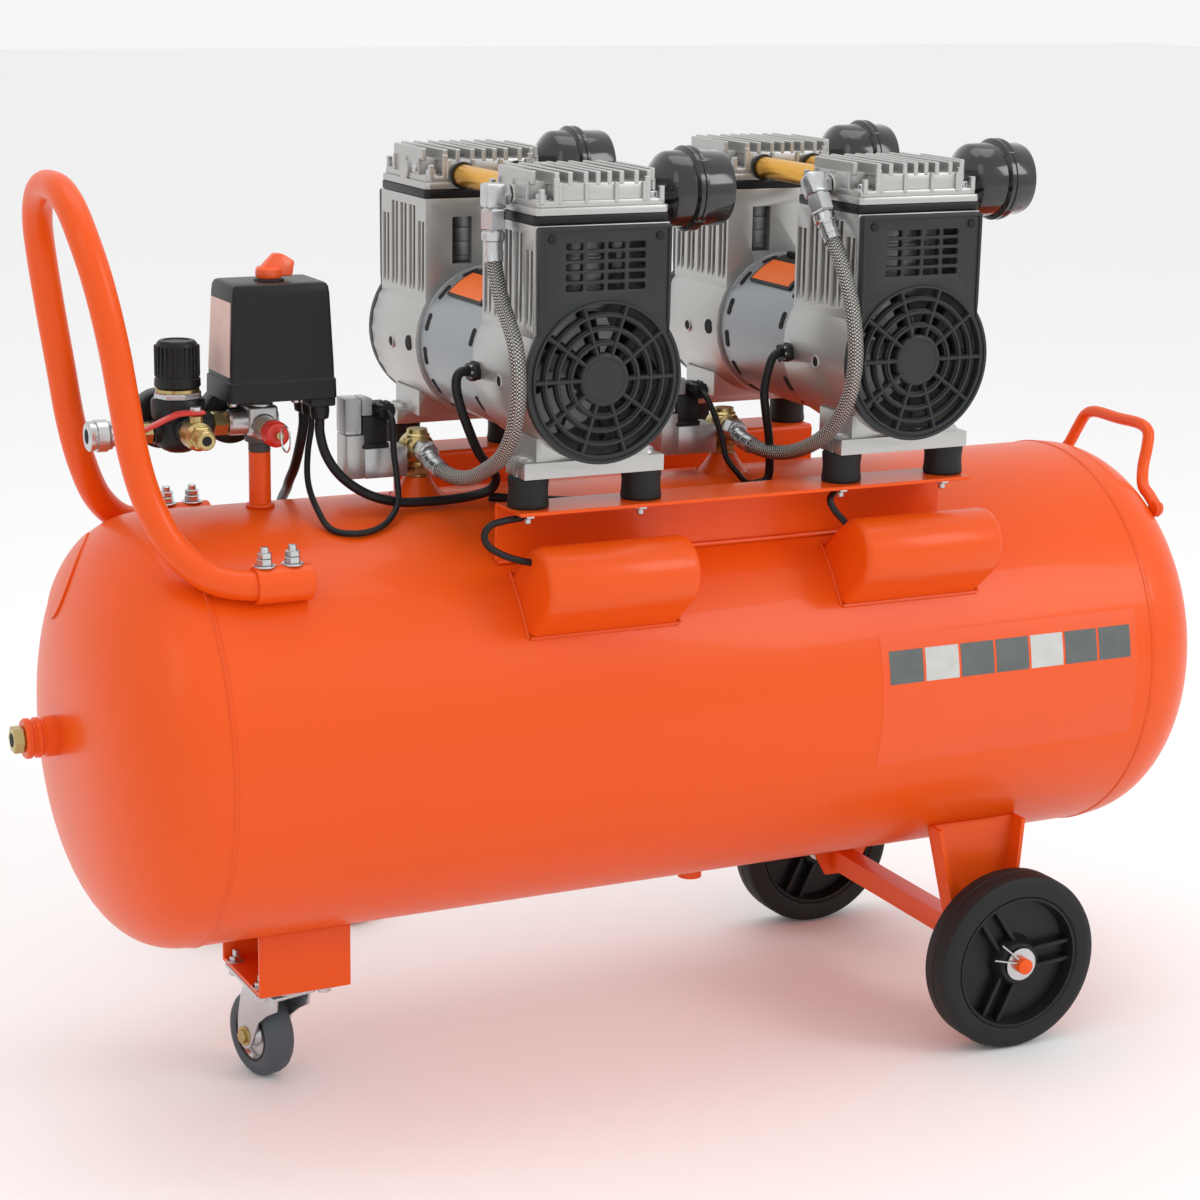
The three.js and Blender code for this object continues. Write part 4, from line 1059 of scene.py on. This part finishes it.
def hose(side, x):
    p = Piece(f"hose_{side}")
    control, lean = HOSES[side]
    route = [(x + a, b, c) for a, b, c in control]
    p.tube(route, 6.4, BRAID, 200, 28)
    line = smoothed(route, 200)
    sleeve(p, line, 3, 20, 7.4, ZINC)
    sleeve(p, line, 176, 194, 7.4, ZINC)
    for i in (7, 12, 17, 179, 184, 189):
        sleeve(p, line, i, i + 2, 7.9, ZINC, 4)
    p.rod("y", 10, -25.5, -11.3, (x + CHECK_DX, 219), ZINC, 6, 1.0)
    p.rod("y", 8.4, -27.5, -25, (x + CHECK_DX, 218.6), ZINC, 30)
    # forged elbow with its swivel nut, leaning forward about the head's port
    c, s = cos(radians(lean)), sin(radians(lean))
    y0, z0 = HEAD_PORT
    p.move = lambda px, py, pz: (px, y0 + (py - y0) * c - (pz - z0) * s, z0 + (py - y0) * s
        + (pz - z0) * c)
    m = x + HOSE_DX
    p.turned("z", [(403, 0), (403, 7.6), (404.5, 9.2), (410, 9.4), (412, 8), (412, 0)], (m, y0),
        ZINC, 36)
    p.rod("z", 10.5, 412.5, 429, (m, y0), ZINC, 6, 1.1)
    p.box(m - 8.6, m + 8.6, -120.4, -103.6, 429.5, 449, ZINC, 2.6, 3)
    p.rod("z", 7.4, 426, 432, (m, y0), ZINC, 32)
    p.rod("x", 8.8, m + 6, x - 59.2, HEAD_PORT, ZINC, 6, 1.0)
    p.done("steel_braid")


for side_name, xc in PUMPS.items():
    check_valve(side_name, xc + CHECK_DX)
    unloader(side_name, xc + CHECK_DX)
    hose(side_name, xc)


# ---- switch, manifold, regulator
man = Piece("manifold")
man.box(-359, -334, -12.5, 12.5, 240, 265, MACHINED, 2.6, 3)
man.turned("z", [(226.6, 0), (226.6, 8.6), (234, 8.8), (235, 11.8), (241, 12.6), (241, 0)], RISER,
    DARK_METAL_AND_SHADE, 40)
for k in range(3):
    man.ring("z", 8.4, 9.3, 227.4 + 2.2 * k, 228.6 + 2.2 * k, RISER, DARK_METAL_AND_SHADE, 36)
man.rod("z", 11.5, 262, 266.8, RISER, MACHINED, 40)
man.turned("y", [(-14, 0), (-14, 10), (-12, 11.4), (12, 11.4), (14, 10), (14, 0)], (-346.5, 248),
    MACHINED, 44)
man.turned("x", [(-374, 0), (-374, 9.2), (-372, 10.6), (-333, 11.4), (-332.6, 9), (-332.6, 0)],
    (0, MANIFOLD_Z), MACHINED, 44)
man.rod("x", 10.4, -386.5, -374.5, (0, MANIFOLD_Z), BRASS, 6, 0.9)
man.done("zinc")

sw = Piece("pressure_switch")


def rounded_box(p, levels, mat, r):
    """A tapering box of rounded rectangles: levels are (z, half x, half y)."""
    p.loft([[(-337 + x, -4 + y, z) for x, y in rounded(-hx, hx, -hy, hy, r)]
        for z, hx, hy in levels], mat)


rounded_box(sw, [(272, 44, 30.4), (272.8, 45.4, 31.8), (288, 44.9, 31.8), (289, 43.8, 31)], BLACK,
    3.4)
rounded_box(sw, [(288.6, 43.6, 31.0), (300, 43.4, 30.8), (357, 40.9, 28.6), (362.5, 40.2, 28.0),
    (365, 38.8, 26.8), (366, 37, 25)], BLACK, 3.0)
# raised frame and rating label on the left side, screw tower on top
sw.shell([(-381.6, -30, 293), (-381.6, 22, 293), (-378.9, -28, 352), (-378.9, 20, 352),
    (-379, -30, 293), (-379, 22, 293), (-376.4, -28, 352), (-376.4, 20, 352)],
    [(0, 2, 3, 1), (4, 5, 7, 6), (0, 1, 5, 4), (2, 6, 7, 3), (0, 4, 6, 2), (1, 3, 7, 5)], PALE)
sw.rod("z", 11, 267.3, 273, RISER, MACHINED, 6, 0.8)
for x in (-372, -318, -312):
    sw.rod("z", 4.2, 266, 273, (x, -10), ZINC, 20, 0.6)
sw.ring("z", 8.2, 12.4, 364.6, 367.4, (-338, -4), BLACK, 40, 0.7)
for y in (-24, -4, 15):
    sw.turned("z", [(254, 0), (254, 5.5), (255, 7.2), (259, 7.8), (263, 8), (266, 7), (273, 7.4),
        (273, 0)], (-303, y), BLACK, 32)
sw.box(-314, -292.4, -34, 25, 265.5, 273, BLACK, 1.6)
sw.done("black_plastic")

knob = Piece("switch_knob", "switch_knob")
knob.rod("z", 7.4, 355.2, 371, (-338, -4), RED_ORANGE, 28)
knob.turned("z", [(368.4, 0), (368.4, 10.4), (371, 11), (375, 10.6), (377, 9), (377, 0)],
    (-338, -4), RED_ORANGE, 36)
knob.shell([(-346, -11, 369.3), (-320, -11, 369.3), (-320, 3, 369.3), (-346, 3, 369.3),
    (-343, -9.5, 378), (-317.5, -9.5, 381), (-317.5, 1.5, 381), (-343, 1.5, 378), (-334, -8, 387.6),
    (-327, -8, 387), (-327, 0, 387), (-334, 0, 387.6)], [(3, 2, 1, 0), (0, 1, 5, 4), (1, 2, 6, 5),
    (2, 3, 7, 6), (3, 0, 4, 7), (4, 5, 9, 8), (5, 6, 10, 9), (6, 7, 11, 10), (7, 4, 8, 11),
    (8, 9, 10, 11)], RED_ORANGE, bevel=1.4)
knob.done("red_plastic")

reg = Piece("regulator_body")
reg.turned("z", [(231, 0), (231, 9), (233, 13), (236, 17), (240, 18.6), (256, 18.6), (258, 20.4),
    (262, 21.6), (272, 21.6), (274.4, 20.5), (274.4, 0)], (REG_X, 0), BLACK, 56)
reg.rod("z", 19.6, 274.2, 279.4, (REG_X, 0), ZINC, 8, 0.9)
reg.rod("z", 17.5, 279.2, 282.8, (REG_X, 0), BRASS, 48, 0.6)
for axis, a, b, at in (("x", REG_X, -387.4, (0, MANIFOLD_Z)), ("x", REG_X - 21.8, REG_X,
        (0, SIDE_Z)), ("y", -26.8, 0, OUTLET), ("y", 0, 21.5, (REG_X - 3, MANIFOLD_Z))):
    reg.rod(axis, 10.2, a, b, at, BLACK, 8, 0.9)
reg.done("black_plastic")

rk = Piece("regulator_knob", "regulator_knob")
rk.turned("z", [(283.5, 0), (283.5, 17.8), (284.4, 18.6), (290, 18.4), (291, 17.5), (316, 16.7),
    (319, 15.9), (320.8, 14), (321, 11.5), (320, 10.6), (320, 0)], (REG_X, 0), BLACK, 72)
for k in range(26):
    deg = 360 * k / 26
    rk.box(REG_X + 15.9, REG_X + 18.2, -1.1, 1.1, 292, 317, BLACK, 0.5, spin=("z", deg, REG_X, 0),
        segments=1)
rk.done("black_plastic")


def gauge(name, x, stem):
    p = Piece(name)
    at = (x, MANIFOLD_Z)
    p.turned("y", [(30, 0), (30, 21), (31, 23.2), (33, 24), (47.6, 24), (49.4, 23), (49.9, 21.6),
        (49.4, 20.6), (46.6, 20.4), (46.6, 0)], at, BLACK, 72)
    p.ring("y", 20.6, 23.6, 48.2, 49.9, at, ZINC, 72, 0.7)
    p.rod("y", 20.4, 46.4, 46.9, at, DIAL, 60, 0.1)
    for k in range(11):
        a = radians(225 - 27 * k)
        cx, cz = at[0] - 16.5 * cos(a), at[1] + 16.5 * sin(a)
        p.box(cx - 0.4, cx + 0.4, 46.7, 47.2, cz - 2, cz + 2, BLACK, 0.05, 1,
            ("y", degrees(a) - 90, cx, cz))
    p.box(at[0] - 0.6, at[0] + 0.6, 47.0, 47.5, at[1] - 3, at[1] + 14, RED, 0.1, 1,
        ("y", -125, *at))
    p.rod("y", 2.2, 46.6, 48.2, at, BLACK, 20, 0.4)
    p.rod("y", 6.6, stem, 31, at, BRASS, 6, 0.6)
    p.done("black_plastic")


gauge("regulator_gauge", REG_X - 3, 22.6)
gauge("manifold_gauge", -359, 14.4)

ov = Piece("outlet_valve")
ov.rod("y", 9.4, -38, -27.4, OUTLET, BRASS, 6, 0.9)
ov.turned("y", [(-57, 0), (-57, 8.5), (-54.5, 11.4), (-40, 11.4), (-37.5, 9), (-37.5, 0)], OUTLET,
    BRASS, 44)
ov.rod("y", 9.6, -62.5, -56.5, OUTLET, BRASS, 6, 0.9)
ov.turned("y", [(-73.9, 4), (-73.9, 6.6), (-72.8, 7.4), (-62, 7.6), (-62, 4), (-73.9, 4)], OUTLET,
    BRASS, 40)
# painted shade: a dark disc in the outlet's bore
ov.rod("y", 4.0, -73.4, -72.6, OUTLET, HOLE_SHADE, 24, 0.1)
for k in range(4):
    ov.ring("y", 6.9, 7.9, -72 + 2.4 * k, -70.9 + 2.4 * k, OUTLET, BRASS, 36, 0.3)
ov.rod("z", 5.2, 260, 267.8, (REG_X, -47), BRASS, 32)
ov.done("brass")


def lever_looks():
    p = Piece("outlet_lever", "outlet_lever")
    z = 268.4
    stations = [(6.5, 5.0, 0), (0, 6.0, 0), (-8, 5.8, 0), (-15, 5.2, -0.4), (-24, 4.8, -3.6),
        (-34, 4.9, -8.0), (-42, 5.0, -11.4), (-45.5, 3.4, -12.8)]
    sections = [[(REG_X + dx, -47 + s * half, z + drop + dz) for s, dz in ((-1, 0), (1, 0), (1, 3),
        (-1, 3))] for dx, half, drop in stations]
    p.loft(sections, RED, bevel=0.9, limit=40)
    p.rod("z", 4.6, z + 2.4, z + 5.8, (REG_X, -47), ZINC, 6, 0.6)
    p.done("red_plastic")


lever_looks()

so = Piece("side_outlet")
so.rod("x", 9.4, -446, REG_X - 22.3, (0, SIDE_Z), BRASS, 6, 0.9)
so.turned("x", [(-463, 0), (-463, 8.6), (-460.5, 11.4), (-447, 11.4), (-445, 9), (-445, 0)],
    (0, SIDE_Z), BRASS, 44)
so.rod("x", 9.8, -471, -462.6, (0, SIDE_Z), ZINC, 6, 0.9)
so.turned("x", [(-489.9, 6), (-489.9, 10.6), (-488.6, 12), (-485.6, 12.2), (-485, 11.2),
    (-483.6, 11.2), (-483, 13), (-474.4, 13), (-473, 11.8), (-470.6, 11.4), (-470.6, 6),
    (-489.9, 6)], (0, SIDE_Z), ZINC, 56)
# painted shade: a dark disc in the side outlet's bore
so.rod("x", 6, -487, -486, (0, SIDE_Z), HOLE_SHADE, 32, 0.1)
so.rod("y", 4.4, -16.9, 0, (-453, SIDE_Z), BRASS, 24)
so.done("zinc")

sl = Piece("side_lever", "side_lever")
sl.plate([(-457.5, SIDE_Z + 3), (-458, SIDE_Z - 16), (-457, SIDE_Z - 37)] + arc(-453, SIDE_Z - 34.4,
    3.6, 200, 340, 8) + [(-448, SIDE_Z - 16), (-448.5, SIDE_Z + 3)] + arc(-453, SIDE_Z + 1, 4.8, 10,
    170, 8), [], -20.6, -17.6, "y", RED, 0.5)
sl.rod("y", 3.6, -23, -20.2, (-453, SIDE_Z), ZINC, 6, 0.5)
sl.done("red_plastic")

sv = Piece("safety_valve")
SX, SZ = -344.5, 246
sv.rod("y", 8, -24, -14.3, (SX, SZ), BRASS, 6, 0.8)
sv.turned("y", [(-42, 0), (-42, 7.4), (-40.5, 9.6), (-38, 10.2), (-26, 10.2), (-23.4, 9),
    (-23.4, 0)], (SX, SZ), RED, 44)
for k in range(3):
    sv.ring("y", 9.8, 10.7, -37.5 + 3.6 * k, -36 + 3.6 * k, (SX, SZ), RED, 44, 0.3)
sv.rod("y", 3.2, -47, -41.5, (SX, SZ), BRASS, 24, 0.6)
sv.done("red_plastic")

rg = Piece("safety_ring", "safety_ring")
circle = [(SX, -58.5 + 10.4 * cos(radians(a)), SZ + 10.4 * sin(radians(a)))
    for a in range(-20, 341, 15)]
rg.tube(circle, 0.8, ZINC, 60, 10)
rg.done("zinc")

# ---- cables held at both ends
# from under the rail's edge round into the top corner of each cover
CAPACITOR_LEADS = {"left": [(-44, -122, 186), (-52, -134, 185.5), (-62, -146, 186),
    (-78, -151, 186), (-91, -152, 183), (-96, -153, 176), (-93.5, -154, 168), (-84, -155, 161),
    (-70, -157, 155), (-58, -158, 152), (-46, -157, 150)], "right": [(-40, -124, 187),
    (-52, -134, 186.5), (-62, -144, 184.5), (-69, -150, 179.5), (-66, -152, 172), (-58, -153, 163),
    (-48, -154, 153), (-42, -154, 148)]}
cables = Piece("motor_cable")
cables.tube([(-303, -24, 253.6), (-303, -24, 243), (-300, -30, 225), (-290, -37, 208),
    (-270, -42, 193), (-244, -44, 184.5), (-218, -43, 182.5), (-195, -42, 182.5),
    (-175, -43.5, 184.5), (-162, -49, 190), (-161, -57, 201), (-171, -64, 213), (-182, -69, 226),
    (-194, -73, 250), (-201, -74, 268), (-204, -73.5, 284), (-202, -72.5, 291.5), (-198, *GLAND),
    (-192, *GLAND)], 4.0, SHEATH, 150, 18)
cables.done("cable_sheath")

leads = Piece("leads")
leads.tube([(-303, -4, 254.2), (-303, -4, 244), (-308, -9, 225), (-313, -22, 203), (-314, -45, 185),
    (-309, -66, 171), (-292, -74, 168), (-272, -71, 169.5), (-256, -62, 176), (-246, -52, 187),
    (-243, -42, 204), (-243, -35, 226), (-243, -34, 242), (-243, -31, 251), (-243, -22, 256)], 2.6,
    SHEATH, 120, 14)
leads.tube([(48.2, -22, 256), (48, -32, 252), (52, -38, 240), (58, -42, 220), (62, -46, 200),
    (70, -50, 188), (80, -53, 178), (92, -60, 181)], 2.6, SHEATH, 90, 14)
leads.tube([(-160, -40, 181.5), (-120, -52, 178.5), (-60, -60, 174), (0, -62, 173), (40, -60, 174),
    (74, -62, 175), (92, -64, 182), (93, -67, 200), (89, -71, 222), (83, -74.5, 246),
    (81, -75, 262), (84, -74.5, 278), (90, -73, 291), (96, *GLAND), (100, *GLAND)], 3.8, SHEATH,
    150, 14)
for side_name, xc in PUMPS.items():
    loop = CAPACITOR_LEADS[side_name]
    leads.tube([(xc + dx, y, z) for dx, y, z in loop], 2.9, SHEATH, 80, 14)
# white tie on the right pump's lead
leads.ring("z", 3.6, 5.2, 204, 208, (92.3, -67.8), TIE, 24, 0.4)
leads.box(96.5, 107, -69, -66.8, 205, 207, TIE, 0.3, 1)
leads.done("cable_sheath", stands_for_node=False)

# ---- stage and light
floor = bpy.data.meshes.new("floor")
floor.from_pydata([(-14, -10, 0), (14, -10, 0), (14, 18, 0), (-14, 18, 0)], [], [(0, 1, 2, 3)])
floor_obj = bpy.data.objects.new("floor", floor)
bpy.context.collection.objects.link(floor_obj)
floor_obj.location.z = -0.0004
floor.materials.append(finish("studio_floor", (0.93, 0.93, 0.93), 0.75, mottle=(3, 0.003)))

world = bpy.data.worlds.new("studio")
bpy.context.scene.world = world
world.use_nodes = True
put(world.node_tree.nodes["Background"], Color=(1, 1, 1, 1), Strength=0.93)


def light(name, place, target, size, energy):
    data = bpy.data.lights.new(name, "AREA")
    data.shape = "RECTANGLE"
    data.size, data.size_y = size
    data.energy = energy
    obj = bpy.data.objects.new(name, data)
    bpy.context.collection.objects.link(obj)
    obj.location = place
    obj.rotation_euler = (Vector(target) - Vector(place)).to_track_quat("-Z", "Y").to_euler()


light("key", (2.2, -2.6, 2.3), (0.1, 0, 0.4), (1.3, 1.5), 27)
light("fill", (-2.6, -2.0, 2.8), (-0.2, 0, 0.4), (1.4, 1.8), 7)
light("over", (0.1, 0.3, 3.2), (0, 0, 0.5), (2.6, 1.6), 18)
bpy.context.scene.view_settings.view_transform = "Standard"
